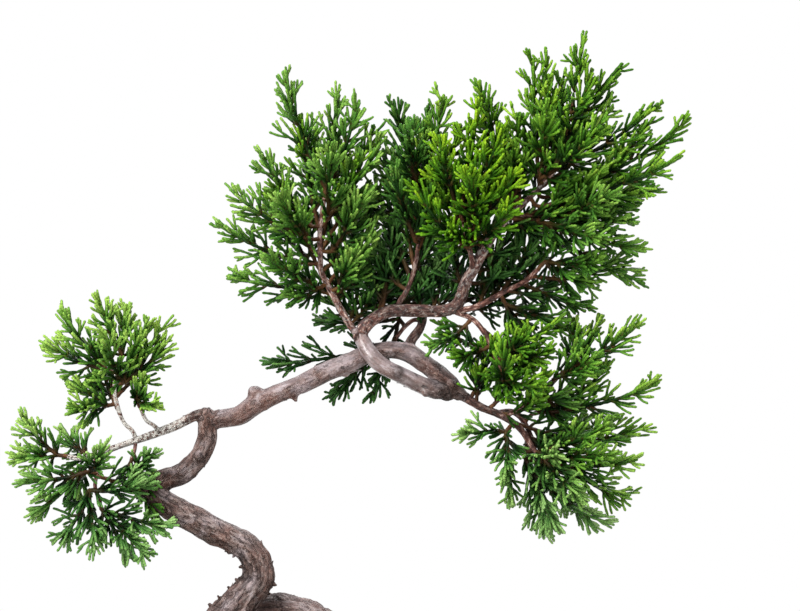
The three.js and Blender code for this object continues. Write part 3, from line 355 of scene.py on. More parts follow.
class Nodes:
    """Short ways to add shader nodes to a tree. A colour is three values from 0 to 255."""

    def __init__(self, tree):
        self.tree = tree

    def put(self, value, socket):
        """Link an output to an input, or give the input a value."""
        if isinstance(value, bpy.types.NodeSocket):
            self.tree.links.new(value, socket)
        else:
            socket.default_value = value

    def node(self, kind, inputs=None, **settings):
        node = self.tree.nodes.new("ShaderNode" + kind)
        for key, value in settings.items():
            setattr(node, key, value)
        for key, value in (inputs or {}).items():
            self.put(value, node.inputs[key])
        return node

    def attribute(self, name):
        return self.node("Attribute", attribute_name=name).outputs

    def channels(self, colour):
        return self.node("SeparateColor", {"Color": colour}).outputs[:3]

    def object_place(self):
        return self.node("TexCoord").outputs["Object"]

    def height_of(self, vector):
        return self.node("SeparateXYZ", {"Vector": vector}).outputs["Z"]

    def maths(self, operation, *values, clamp=False):
        return self.node("Math", dict(enumerate(values)), operation=operation, use_clamp=clamp).outputs[0]

    def times(self, first, second):
        return self.maths("MULTIPLY", first, second)

    def plus(self, first, second, clamp=False):
        return self.maths("ADD", first, second, clamp=clamp)

    def scaled(self, value, factor, added, clamp=False):
        return self.maths("MULTIPLY_ADD", value, factor, added, clamp=clamp)

    def ramp(self, value, *stops, interpolation="LINEAR"):
        node = self.node("ValToRGB", {"Fac": value})
        node.color_ramp.interpolation = interpolation
        elements = node.color_ramp.elements
        while len(elements) < len(stops):
            elements.new(0.5)
        for element, (place, colour) in zip(elements, stops):
            element.position = place
            element.color = linear(*colour)
        return node.outputs["Color"]

    def spread(self, value, low, high, to_low=0.0, to_high=1.0):
        """A value's stretch from low to high, spread over another stretch."""
        inputs = {"Value": value, "From Min": low, "From Max": high, "To Min": to_low, "To Max": to_high}
        return self.node("MapRange", inputs).outputs["Result"]

    def mix(self, factor, first, second):
        node = self.node("Mix", data_type="RGBA")
        sockets = [node.inputs[0]] + [s for s in node.inputs if s.type == "RGBA"]
        for value, socket in zip((factor, first, second), sockets):
            self.put(linear(*value) if isinstance(value, tuple) else value, socket)
        return [s for s in node.outputs if s.type == "RGBA"][0]

    def brighten(self, colour, value):
        return self.node("HueSaturation", {"Color": colour, "Value": value}).outputs["Color"]

    def noise(self, vector, scale, detail=3.0, roughness=0.55, distortion=0.0):
        inputs = {"Vector": vector, "Scale": scale, "Detail": detail, "Roughness": roughness, "Distortion": distortion}
        return self.node("TexNoise", inputs).outputs["Fac"]

    def cells(self, vector, scale, feature="F1"):
        return self.node("TexVoronoi", {"Vector": vector, "Scale": scale}, feature=feature).outputs["Distance"]

    def bump(self, height, strength, distance, after=None):
        inputs = {"Height": height, "Strength": strength, "Distance": distance}
        if after is not None:
            inputs["Normal"] = after
        return self.node("Bump", inputs).outputs["Normal"]


class MaterialNodes(Nodes):
    """The nodes of a new material."""

    def __init__(self, name):
        self.material = bpy.data.materials.new(name)
        self.material.use_nodes = True
        super().__init__(self.material.node_tree)

    def finish(self, colour, roughness, specular, normal=None, **more):
        """The material, with its shader's sockets filled."""
        sockets = self.tree.nodes["Principled BSDF"].inputs
        values = {"Base Color": colour, "Roughness": roughness, "Specular IOR Level": specular, **more}
        if normal is not None:
            values["Normal"] = normal
        for key, value in values.items():
            self.put(value, sockets[key])
        return self.material


def foliage_material():
    """Green scale leaves. Of "tone", red is how light a shoot is: lighter towards the young tips, with painted shade
    deep in the plumes and on the sprays at the back, and painted light on shoots that point up; green is chance, blue
    is how blue a spray is, and alpha is how brown and woody a stem is. "scales" counts the leaves along a shoot."""
    n = MaterialNodes("juniper_foliage")
    tone = n.attribute("tone")
    tip_light_and_shade, chance, blueness = n.channels(tone["Color"])
    patches = n.noise(n.object_place(), 260.0, 2.0)
    level = n.plus(tip_light_and_shade, n.scaled(chance, 0.32, -0.16))
    level = n.plus(level, n.scaled(patches, 0.24, -0.12), clamp=True)
    green = n.ramp(level, (0.0, (2, 12, 1)), (0.24, (12, 36, 3)), (0.5, (40, 76, 9)),
                   (0.75, (70, 106, 14)), (1.0, (106, 134, 22)))
    bluish = n.ramp(level, (0.0, (2, 12, 2)), (0.22, (13, 37, 9)), (0.5, (46, 78, 34)),
                    (0.75, (78, 106, 58)), (1.0, (106, 132, 86)))
    edge = n.maths("FRACT", n.attribute("scales")["Fac"])
    # The scale leaves' pattern: each scale is lighter in its middle and darker at its seams, partly the leaves' own
    # look and partly painted shade between them.
    leaves = n.brighten(n.mix(blueness, green, bluish), n.spread(edge, 0.0, 0.85, 0.7, 1.22))
    stem = n.ramp(patches, (0.3, (50, 30, 20)), (0.55, (78, 50, 31)), (0.8, (96, 71, 42)))
    # Painted shade: the stems of the bluer sprays, at the back of the crown, are mixed towards a dark brown.
    stem = n.mix(n.spread(blueness, 0.55, 0.9, 0.0, 0.75), stem, (30, 19, 13))
    return n.finish(n.mix(tone["Alpha"], leaves, stem), 0.45, 0.05, n.bump(edge, 0.5, 0.00012))


def bark_material():
    """Fibrous bark. "grain" holds millimetres along the limb and across it. Of "look", red is how young
    the bark is, green how smooth, blue how flaky and alpha how lit it is: low in the recesses of its carved surface, as
    painted shade, and where the bark is darker."""
    n = MaterialNodes("juniper_bark")
    grain = n.attribute("grain")["Vector"]
    look = n.attribute("look")
    youth, smoothness, flaking = n.channels(look["Color"])
    long_way, short_way = (
        n.node("Mapping", {"Vector": grain, "Scale": (scale, 1.0, 1.0)}).outputs["Vector"] for scale in (0.1, 0.4))
    wander = n.node("TexNoise", {"Vector": grain, "Scale": 0.5}).outputs["Color"]
    wavy = n.node("VectorMath", {0: wander, 1: (2.4, 2.4, 2.4), 2: short_way}, operation="MULTIPLY_ADD").outputs[0]
    fibres = n.noise(long_way, 1.7, 8.0, 0.7, 0.4)
    strands = n.noise(long_way, 4.4, 4.0, 0.6)
    mottles = n.noise(short_way, 0.5, 9.0, 0.72, 0.3)
    blotches = n.noise(grain, 0.16, 3.0, 0.5)
    scaly = n.noise(short_way, 1.1, 6.0, 0.66, 0.3)
    dots = n.noise(grain, 1.9, 2.0, 0.6)
    old = n.ramp(mottles, (0.36, (24, 16, 13)), (0.45, (54, 42, 37)), (0.53, (77, 65, 60)),
                 (0.61, (98, 88, 84)), (0.72, (130, 124, 121)))
    smooth = n.ramp(mottles, (0.36, (47, 31, 28)), (0.46, (77, 60, 57)), (0.55, (100, 86, 85)),
                    (0.68, (130, 123, 127)))
    twig = n.ramp(scaly, (0.38, (22, 10, 8)), (0.48, (70, 37, 31)), (0.56, (112, 74, 63)),
                  (0.64, (172, 152, 140)))
    colour = n.mix(smoothness, old, smooth)
    colour = n.mix(n.spread(blotches, 0.48, 0.64, 0.0, 0.55), colour, (78, 52, 43))
    colour = n.mix(n.spread(blotches, 0.46, 0.34, 0.0, 0.5), colour, (128, 119, 122))

    plates = n.cells(wavy, 0.42, "DISTANCE_TO_EDGE")
    cracks = n.times(n.spread(plates, 0.02, 0.1, 1.0, 0.0), n.spread(mottles, 0.56, 0.48))
    cracks = n.times(cracks, n.scaled(smoothness, -1.2, 1.0, clamp=True))
    pits = n.spread(n.cells(wavy, 0.34), 0.11, 0.24, 1.0, 0.0)
    damage = n.maths("MAXIMUM", n.times(cracks, 0.75), n.times(pits, 0.8))
    damage = n.times(damage, n.scaled(youth, -0.8, 1.0))
    colour = n.mix(damage, colour, (27, 20, 18))

    # Painted highlight: bark that faces up is mixed towards a pale lavender-grey, most on the smooth, glossy limbs.
    top_sheen = n.spread(n.height_of(n.node("NewGeometry").outputs["Normal"]), 0.1, 0.95)
    colour = n.mix(n.times(top_sheen, n.scaled(smoothness, 0.34, 0.08)), colour, (142, 136, 141))
    colour = n.mix(n.spread(dots, 0.58, 0.66, 0.0, 0.5), colour, (38, 25, 21))
    colour = n.mix(n.spread(dots, 0.4, 0.33, 0.0, 0.3), colour, (156, 146, 141))
    colour = n.brighten(colour, n.spread(fibres, 0.34, 0.66, 0.88, 1.12))
    colour = n.mix(youth, colour, twig)
    # Painted shade in the bark's recesses and dark places: the colour goes to a dark brown where the alpha of look is
    # low.
    colour = n.mix(n.spread(look["Alpha"], 0.0, 0.42, 0.7, 0.0), colour, (25, 16, 13))
    lichen = n.spread(n.scaled(flaking, 0.13, n.noise(grain, 0.95, 4.0, 0.7)), 0.56, 0.64)
    colour = n.mix(n.times(lichen, flaking), colour, (158, 154, 148))

    roughness = n.scaled(strands, 0.2, n.scaled(smoothness, -0.38, 0.58))
    height = n.plus(n.times(n.plus(fibres, strands), 0.4), n.times(mottles, 1.5))
    height = n.times(height, n.scaled(smoothness, -0.92, 1.0))
    height = n.maths("SUBTRACT", height, damage)
    coat = {"Coat Weight": n.spread(smoothness, 0.6, 0.95), "Coat Roughness": 0.27}
    return n.finish(colour, roughness, 0.12, n.bump(height, 1.0, 0.0007), **coat)


def clay_material():
    n = MaterialNodes("unglazed_clay")
    where = n.object_place()
    clouds = n.noise(where, 28.0, 4.0, 0.6)
    grit = n.noise(where, 1400.0, 2.0, 0.5)
    colour = n.ramp(clouds, (0.3, (54, 37, 30)), (0.55, (66, 47, 38)), (0.78, (80, 60, 49)))
    colour = n.mix(n.spread(grit, 0.4, 0.7, 0.0, 0.4), colour, (42, 29, 25))
    colour = n.mix(n.spread(n.cells(where, 620.0), 0.14, 0.04, 0.0, 0.5), colour, (110, 90, 76))
    normal = n.bump(clouds, 0.3, 0.001, n.bump(grit, 0.35, 0.0002))
    return n.finish(colour, n.scaled(clouds, 0.2, 0.56), 0.35, normal)


def soil_material(name, dark):
    """Granules of baked clay, pumice and lava. "chance" tells one granule from the next."""
    n = MaterialNodes(name)
    clouds = n.noise(n.object_place(), 700.0, 4.0, 0.6)
    colour = n.ramp(n.attribute("chance")["Fac"], (0.0, (66, 50, 36)), (0.3, (84, 64, 46)),
                    (0.55, (102, 80, 58)), (0.74, (58, 42, 34)), (0.84, (52, 47, 44)),
                    (0.94, (138, 130, 116)), interpolation="CONSTANT")
    colour = n.mix(n.spread(clouds, 0.3, 0.7, 0.0, 0.45), colour, (46, 35, 27))
    colour = n.mix(dark, colour, (52, 40, 30))
    return n.finish(colour, 0.92, 0.2, n.bump(clouds, 0.7, 0.0006))


def screen_material():
    n = MaterialNodes("screen_plastic")
    clouds = n.noise(n.object_place(), 300.0)
    colour = n.ramp(clouds, (0.3, (24, 28, 24)), (0.7, (44, 50, 44)))
    return n.finish(colour, 0.5, 0.5, n.bump(clouds, 0.2, 0.0002))


def floor_material():
    n = MaterialNodes("studio_floor")
    where = n.object_place()
    colour = n.ramp(n.noise(where, 3.0, 2.0), (0.3, (190, 190, 190)), (0.7, (196, 196, 195)))
    # Painted light: the floor's colour brightens outward from its middle, making up for the lamps' light falling off
    # there.
    out = n.node("VectorMath", {0: where}, operation="LENGTH").outputs["Value"]
    return n.finish(n.mix(n.spread(out, 0.3, 0.66), colour, (244, 244, 243)), 0.9, 0.1)


# Camera and light

FLOOR_RADIUS = 0.7
CAMERA_DISTANCE = 1.1
TARGET = np.array([15.9, 0, 131.85]) * MM + SHIFT
VIEW_WIDTH = 240 * MM
SENSOR_WIDTH = 36
camera_data = bpy.data.cameras.new("camera")
camera = bpy.data.objects.new("camera", camera_data)
bpy.context.scene.collection.objects.link(camera)
camera_data.sensor_width = SENSOR_WIDTH
camera_data.lens = SENSOR_WIDTH * CAMERA_DISTANCE / VIEW_WIDTH
camera_data.clip_start = 0.01
camera_data.clip_end = 20
camera.location = Vector(TARGET) + Vector((0, -CAMERA_DISTANCE, 0))
camera.rotation_euler = (math.radians(90), 0, 0)
bpy.context.scene.camera = camera
bpy.context.scene.view_settings.view_transform = "Standard"

# Disc lights that face the tree: name, place, width and power in watts
for name, place, width, power in (
    ("key_light", (-0.55, -0.75, 1.2), 0.8, 57), ("front_light", (-0.45, -1.0, 0.3), 0.5, 10),
    ("fill_light", (0.9, -0.8, 0.6), 0.8, 6), ("back_light", (0.35, 0.9, 0.9), 0.7, 14),
):
    data = bpy.data.lights.new(name, "AREA")
    data.shape = "DISK"
    data.size = width
    data.energy = power
    light = bpy.data.objects.new(name, data)
    light.location = place
    light.rotation_euler = (Vector((0, 0, 0.12)) - Vector(place)).to_track_quat("-Z", "Y").to_euler()
    bpy.context.scene.collection.objects.link(light)

# The world is white near the horizon and grey above
world = bpy.data.worlds.new("studio")
world.use_nodes = True
studio = Nodes(world.node_tree)
background = world.node_tree.nodes["Background"].inputs
background["Color"].default_value = (1, 1, 1, 1)
sky_height = studio.height_of(studio.node("TexCoord").outputs["Generated"])
studio.put(studio.spread(sky_height, 0.1, 0.32, 1.0, 0.36), background["Strength"])
bpy.context.scene.world = world

disc = bmesh.new()
bmesh.ops.create_circle(disc, cap_ends=True, segments=96, radius=FLOOR_RADIUS)
floor_mesh = bpy.data.meshes.new("floor")
disc.to_mesh(floor_mesh)
disc.free()
floor = bpy.data.objects.new("floor", floor_mesh)
bpy.context.scene.collection.objects.link(floor)
floor_mesh.materials.append(floor_material())


# Wood

TRUNK_STEP, TWIG_STEP = 1.5, 0.7
TRUNK_SIDES, BRANCH_SIDES, TWIG_SIDES = 20, 14, 10
TRUNK_RADIUS = 3
REMESH_LOSS = 0.16
VOXEL = 0.5
NEAREST_BLOCK = 4000
paths = {name: smooth_path(stations, TRUNK_STEP) for name, stations in LIMBS.items()}
twig_paths = {name: smooth_path(stations, TWIG_STEP) for name, stations in LIMBS.items()}


def trunk_and_limbs():
    parts = Parts()
    for name in THICK:
        path = paths[name]
        sides = TRUNK_SIDES if path[:, 3].max() > TRUNK_RADIUS else BRANCH_SIDES
        parts.add_tube(path[:, :3], path[:, 3] + REMESH_LOSS, sides)
    for knob in np.array(KNOBS):
        start, low, end, high = knob[:3], knob[3], knob[4:7], knob[7]
        path = start + np.array([-0.3, 0.3, 0.7, 1.0, 1.16])[:, None] * (end - start)
        radii = np.array([low, low * 1.05, low * 0.55 + high * 0.55, high * 1.1, high * 0.6])
        parts.add_tube(path, np.maximum(radii, 0.3), BRANCH_SIDES)
    return parts.gathered()


def thin_twigs():
    parts = Parts()
    for name, path in twig_paths.items():
        if name not in THICK:
            parts.add_tube(path[:, :3], path[:, 3], TWIG_SIDES)
    return parts.gathered()


def limb_frames():
    """For each sample of every limb: place, direction, a crosswise direction, radius, run and limb number."""
    rows = []
    for number, path in enumerate(paths.values()):
        line, radii = path[:, :3], path[:, 3]
        numbers = np.full(len(path), number)
        rows.append(np.column_stack([line, *frames_along(line), radii, run_along(line), numbers]))
    return np.vstack(rows)


frames = limb_frames()


def nearest_frames(vertices):
    """The limb frame that is nearest to each corner, with distances counted in radii."""
    near = []
    for start in range(0, len(vertices), NEAREST_BLOCK):
        apart = vertices[start:start + NEAREST_BLOCK, None] - frames[None, :, :3]
        near.append((np.linalg.norm(apart, axis=2) / frames[None, :, 9]).argmin(axis=1))
    return frames[np.concatenate(near)]


def wood_look(vertices):
    """The bark's attributes and how far it stands out, in millimetres, at each corner."""
    near = nearest_frames(vertices)
    offset, tangent, normal = vertices - near[:, :3], near[:, 3:6], near[:, 6:9]
    radius, limb, names = near[:, 9], near[:, 11].astype(int), list(LIMBS)
    axes = (tangent, normal, np.cross(tangent, normal))
    grain = np.stack([np.einsum("ij,ij->i", offset, axis) for axis in axes], axis=1)
    grain[:, 0] += near[:, 10]

    def by_limb(table, otherwise=0.0):
        return np.array([table.get(name, otherwise) for name in names])[limb]

    def beyond(name, axis, level, width):
        """How far past a level the corners of one limb lie, from 0 to 1."""
        return np.clip((vertices[:, axis] - level) / width, 0, 1) * (limb == names.index(name))

    def fibres(lengthwise, crosswise):
        """Noise drawn out along the grain and different on each limb."""
        return noise_at(grain * [lengthwise, crosswise, crosswise] + np.outer(31.7 * limb, [1, 0, 0]))

    youth, smoothness = by_limb(YOUTH, 0.85), by_limb(SMOOTHNESS)
    flaking, darkness = by_limb(FLAKING, 0.1), by_limb(DARKNESS)
    ridges = 1 - abs(fibres(0.075, 0.8)) * 2
    plates = np.clip((fibres(0.11, 0.45) - 0.02) * 9, 0, 1)
    lumps = 0.12 * noise_at(vertices, 0.16) + 0.06 * noise_at(vertices, 0.42)
    rough = np.minimum(1.0, radius / 5.5) * (1 - 0.75 * smoothness)
    carved = rough * (0.36 * ridges + 0.3 * fibres(0.16, 2.0) + 0.42 * plates - 0.42)
    heights = carved + (1 - 0.8 * smoothness) * radius * lumps

    upright = beyond("crown_branch", 2, 131, 6)
    darkness += 0.2 * beyond("main", 0, 5, 6) + 0.26 * beyond("shiny_branch", 0, 10, 7) - 0.24 * upright
    flaking += 0.22 * upright
    # Near the dark places the bark is darker, duller and less flaky; the darkening is partly painted shade in joints
    # and inner bends.
    for x, y, z, reach, amount in DARK_PLACES:
        nearness = np.exp(-(np.linalg.norm(vertices - [x, y, z], axis=1) / reach) ** 2)
        darkness += amount * nearness
        smoothness *= 1 - nearness
        flaking *= 1 - nearness
    # How lit the bark is, for the shader's painted shade: lower in the recesses of the carved surface and where the
    # bark is darker.
    relief_light = np.clip(0.55 - darkness + carved / (0.25 + 0.1 * radius), 0, 1)
    return grain, np.stack([youth, smoothness, flaking, relief_light], axis=1), heights


def dress_wood(obj):
    mesh = obj.data
    places = places_of(mesh)
    normals = np.empty(places.size)
    mesh.vertices.foreach_get("normal", normals)
    grain, look, heights = wood_look(places)
    moved = places + heights[:, None] * normals.reshape(-1, 3)
    mesh.vertices.foreach_set("co", (moved * MM + SHIFT).ravel())
    set_attributes(mesh, grain=grain, look=look)
    set_smooth(mesh)
    mesh.update()
    declare(obj, "bark", bark, "wood")


bark = bark_material()
wood = mesh_object("wood_trunk_and_limbs", *trunk_and_limbs())
remesh = wood.modifiers.new("remesh", "REMESH")
remesh.mode = "VOXEL"
remesh.voxel_size = VOXEL * MM
relax = wood.modifiers.new("relax", "SMOOTH")
relax.factor = 0.6
relax.iterations = 4
apply_modifiers(wood)
dress_wood(wood)
dress_wood(mesh_object("wood_twigs", *thin_twigs()))


# Bark that peels away low on the trunk, and splinters of broken twigs in its inner bends

# [limb, share of its length, how many flakes on that stretch, length of the stretch as a share]
PEELING = [["foot", 0.2, 26, 0.35], ["foot", 0.62, 34, 0.35], ["rise", 0.3, 40, 0.5], ["rise", 0.72, 26, 0.4],
           ["elbow", 0.5, 30, 0.8], ["main", 0.5, 34, 0.95], ["crown_branch", 0.4, 54, 0.75],
           ["shiny_branch", 0.25, 12, 0.4], ["left_branch", 0.3, 16, 0.55], ["low_branch", 0.3, 14, 0.5]]
# [x, y, z, direction x, y, z, length before it is shrunk]
SPLINTERS = [[-32.5, -5, 53.6, -1, -0.4, 0.1, 2.4], [-32.8, -6, 50.2, -1, -0.3, 0.3, 2.6],
             [-34.6, -6.6, 47.4, -1, -0.2, 0.4, 2.4], [-33.6, -4.5, 57.2, -0.6, -0.3, -0.9, 2.2],
             [-36, -4, 59, -0.3, -0.4, -1, 2], [-40.5, -6, 42.2, -0.6, -0.6, 0.8, 3],
             [-37.6, -7, 44.4, -0.7, -0.4, 0.8, 2.4], [-23.6, -5, 49.4, 0.8, -0.3, -0.8, 3.4],
             [-25, -5.6, 46.6, 0.7, -0.5, -0.6, 1.8], [-8.4, -2.6, 109.4, -0.2, -0.6, 1, 1.6],
             [-24.5, -1.6, 101, 0.1, -0.5, -1, 1.8], [-47.5, -0.6, 79.4, 0.3, -0.6, -1, 1.6],
             [-20, -2, 103.2, 0.3, -0.4, -1, 1.4], [-36.4, -1.8, 96, 0.2, -0.4, -1, 1.4],
             [4, 0.5, 111.4, 0.2, -0.3, -1, 1.6], [11.6, -3.6, 111.2, 0.1, -0.6, -1, 1.3],
             [19.5, -3.2, 107, 0.1, -0.5, -1, 1.3], [-46.2, -1.8, 84.5, -0.7, -0.7, 0.2, 1.6],
             [-30.6, -2.2, 100.9, -0.1, -0.7, -0.8, 1.4]]
FLAKE_ROWS, FLAKE_COLUMNS = 6, 4
FLAKE_THICKNESS = 0.16
SPLINTER_SHRINK = 0.48
SPLINTER_SIDES = 7
SPLINTER_RADII = np.array([0.66, 0.6, 0.5, 0.46, 0.34, 0.2])
# How lit flakes and splinters are against the bark's painted shade: flakes get none of it, splinters some.
FLAKE_RELIEF_LIGHT, SPLINTER_RELIEF_LIGHT = 0.42, 0.22


def random_grid(rand, rows, columns, low, high):
    return np.array([[rand.uniform(low, high) for _ in range(columns)] for _ in range(rows)])


def peel(rand, limb, share, spread):
    """A thin curled strip of bark that is loose at one end."""
    path = paths[limb]
    place = int(np.clip((share + rand.uniform(-0.5, 0.5) * spread) * (len(path) - 1), 1, len(path) - 2))
    tangent = unit(path[place + 1, :3] - path[place - 1, :3]) * rand.choice((-1, 1))
    outward = beside(tangent, rand.uniform(0, 2 * math.pi))
    across = np.cross(tangent, outward)
    radius = path[place, 3]
    length = rand.uniform(1.6, 4.2) * min(1.0, radius / 2.8)
    width = length * rand.uniform(0.22, 0.42)
    lift = rand.uniform(0.1, 0.55) * min(1.0, radius / 2.4)
    ragged = random_grid(rand, FLAKE_ROWS, FLAKE_COLUMNS, 0.75, 1.15)
    u = np.linspace(0, 1, FLAKE_ROWS)[:, None]
    taper = np.sin(np.pi * (0.16 + 0.72 * u)) ** 0.6
    side = np.linspace(-1, 1, FLAKE_COLUMNS) * width * 0.5 * taper * ragged
    run = u * length + 0.12 * length * (ragged - 0.95)
    sag = np.sqrt(np.maximum(radius ** 2 - side ** 2, 0.1)) - 0.12
    height = sag + lift * u ** 2.2 + 0.1 * (ragged - 0.95)
    top = path[place, :3] + run[..., None] * tangent + side[..., None] * across + height[..., None] * outward
    return np.concatenate([top, top - FLAKE_THICKNESS * outward]).reshape(-1, 3)


def sheet_faces(rows, columns):
    """Quads of a closed sheet: its outside and inside, and the edge between them."""
    count = rows * columns
    outside = grid_faces(rows, columns)
    inside = outside[:, [0, 3, 2, 1]] + count
    edge = np.concatenate([np.arange(columns), columns * np.arange(2, rows + 1) - 1,
                           (rows - 1) * columns + np.arange(columns - 2, -1, -1), columns * np.arange(rows - 2, 0, -1)])
    after = np.roll(edge, -1)
    rim = np.stack([edge, edge + count, after + count, after], axis=1)
    return np.concatenate([np.stack([outside, inside], axis=1).reshape(-1, 4), rim])


def splinter(parts, rand, place, lean, length):
    near = nearest_frames(place[None])[0]
    outward = unit(place - near[:3])
    start = near[:3] + outward * (near[9] - 0.15)
    direction = unit(unit(lean) + 0.5 * outward)
    u = np.linspace(-0.35, 1, len(SPLINTER_RADII))[:, None]
    sway = unit(np.cross(direction, [0.4, 0.5, 0.2])) * rand.uniform(-0.4, 0.4)
    path = start + u * direction * length + u * u * sway
    weights = random_grid(rand, len(SPLINTER_RADII), SPLINTER_SIDES, 0.6, 1.3)
    parts.add_tube(path, length * SPLINTER_RADII, SPLINTER_SIDES, weights)


rand = random.Random(11)
loose = Parts()
for limb, share, number, spread in PEELING:
    for _ in range(number):
        loose.add(peel(rand, limb, share, spread), sheet_faces(FLAKE_ROWS, FLAKE_COLUMNS))
flake_corners = loose.count
for row in np.array(SPLINTERS):
    splinter(loose, rand, row[:3], row[3:6], row[6] * SPLINTER_SHRINK)
loose_vertices, loose_faces = loose.gathered()
grain, look, _ = wood_look(loose_vertices)
look[:flake_corners, 3] = FLAKE_RELIEF_LIGHT
look[flake_corners:, 3] = SPLINTER_RELIEF_LIGHT
declare(mesh_object("loose_bark", loose_vertices, loose_faces, grain=grain, look=look), "bark", bark, "wood")


# Foliage

STEM_STRETCHES = 6
TIP_SIDE, STEM_TIP_SIDE, FOOT_SIDE = 0.55 * math.sqrt(3), 0.6 * math.sqrt(3), 0.9 * math.sqrt(3)
SCALE_PITCH = 1.05
SCALE_RELIEF = 0.12
STEM_STEP = 1.1
RING_STEP = 1.3
# The radii of a rod at its start and its end
STEM_RADII = (0.68, 0.5)
MAIN_RADII, SIDE_RADII, BUD_RADII = 0.45 * np.array([[1.02, 0.96], [0.94, 0.9], [0.88, 0.86]])
EXTRA_SHOOTS, FILLING_SHOOTS = 8, 14
LEAFY_SEED, FILLING_SEED = 100, 500
RISE = np.array([0, 0, 0.3])
ROD_SIDES = 5
ROD_ANGLES = 2 * np.pi * np.arange(ROD_SIDES) / ROD_SIDES
ROD_FOOT = np.array([[0, j + 1, j] for j in range(1, ROD_SIDES - 1)])
ROD_TIP = np.array([[j, (j + 1) % ROD_SIDES, ROD_SIDES] for j in range(ROD_SIDES)])

# How blue-green a spray is: the low and shaded ones are bluer than those in the light
BLUENESS = {"left": 0.4, "middle": 0.45, "back": 0.85, "front": 0.0, "top": 0.15, "outer": 0.35, "side": 0.3,
            "inner": 0.1, "low": 0.55, "far": 0.75, "behind": 0.9}
# How much lighter a spray's tone is than its place in the crown makes it; the darker sprays in the middle, at the back
# and behind are painted shade
LIFT = {"left": 0.0, "middle": -0.2, "back": -0.26, "top": -0.08, "outer": -0.08, "side": -0.12, "inner": -0.08,
        "low": 0.17, "far": 0.16, "behind": -0.28}
# The kinds whose low sprays differ from their high ones: [levels], [bluenesses], [changes of lift]
GRADED = {"far": [[76, 106], [0.85, 0.35], [-0.13, 0.0]], "low": [[64, 90], [0.85, 0.25], [0.02, -0.14]]}

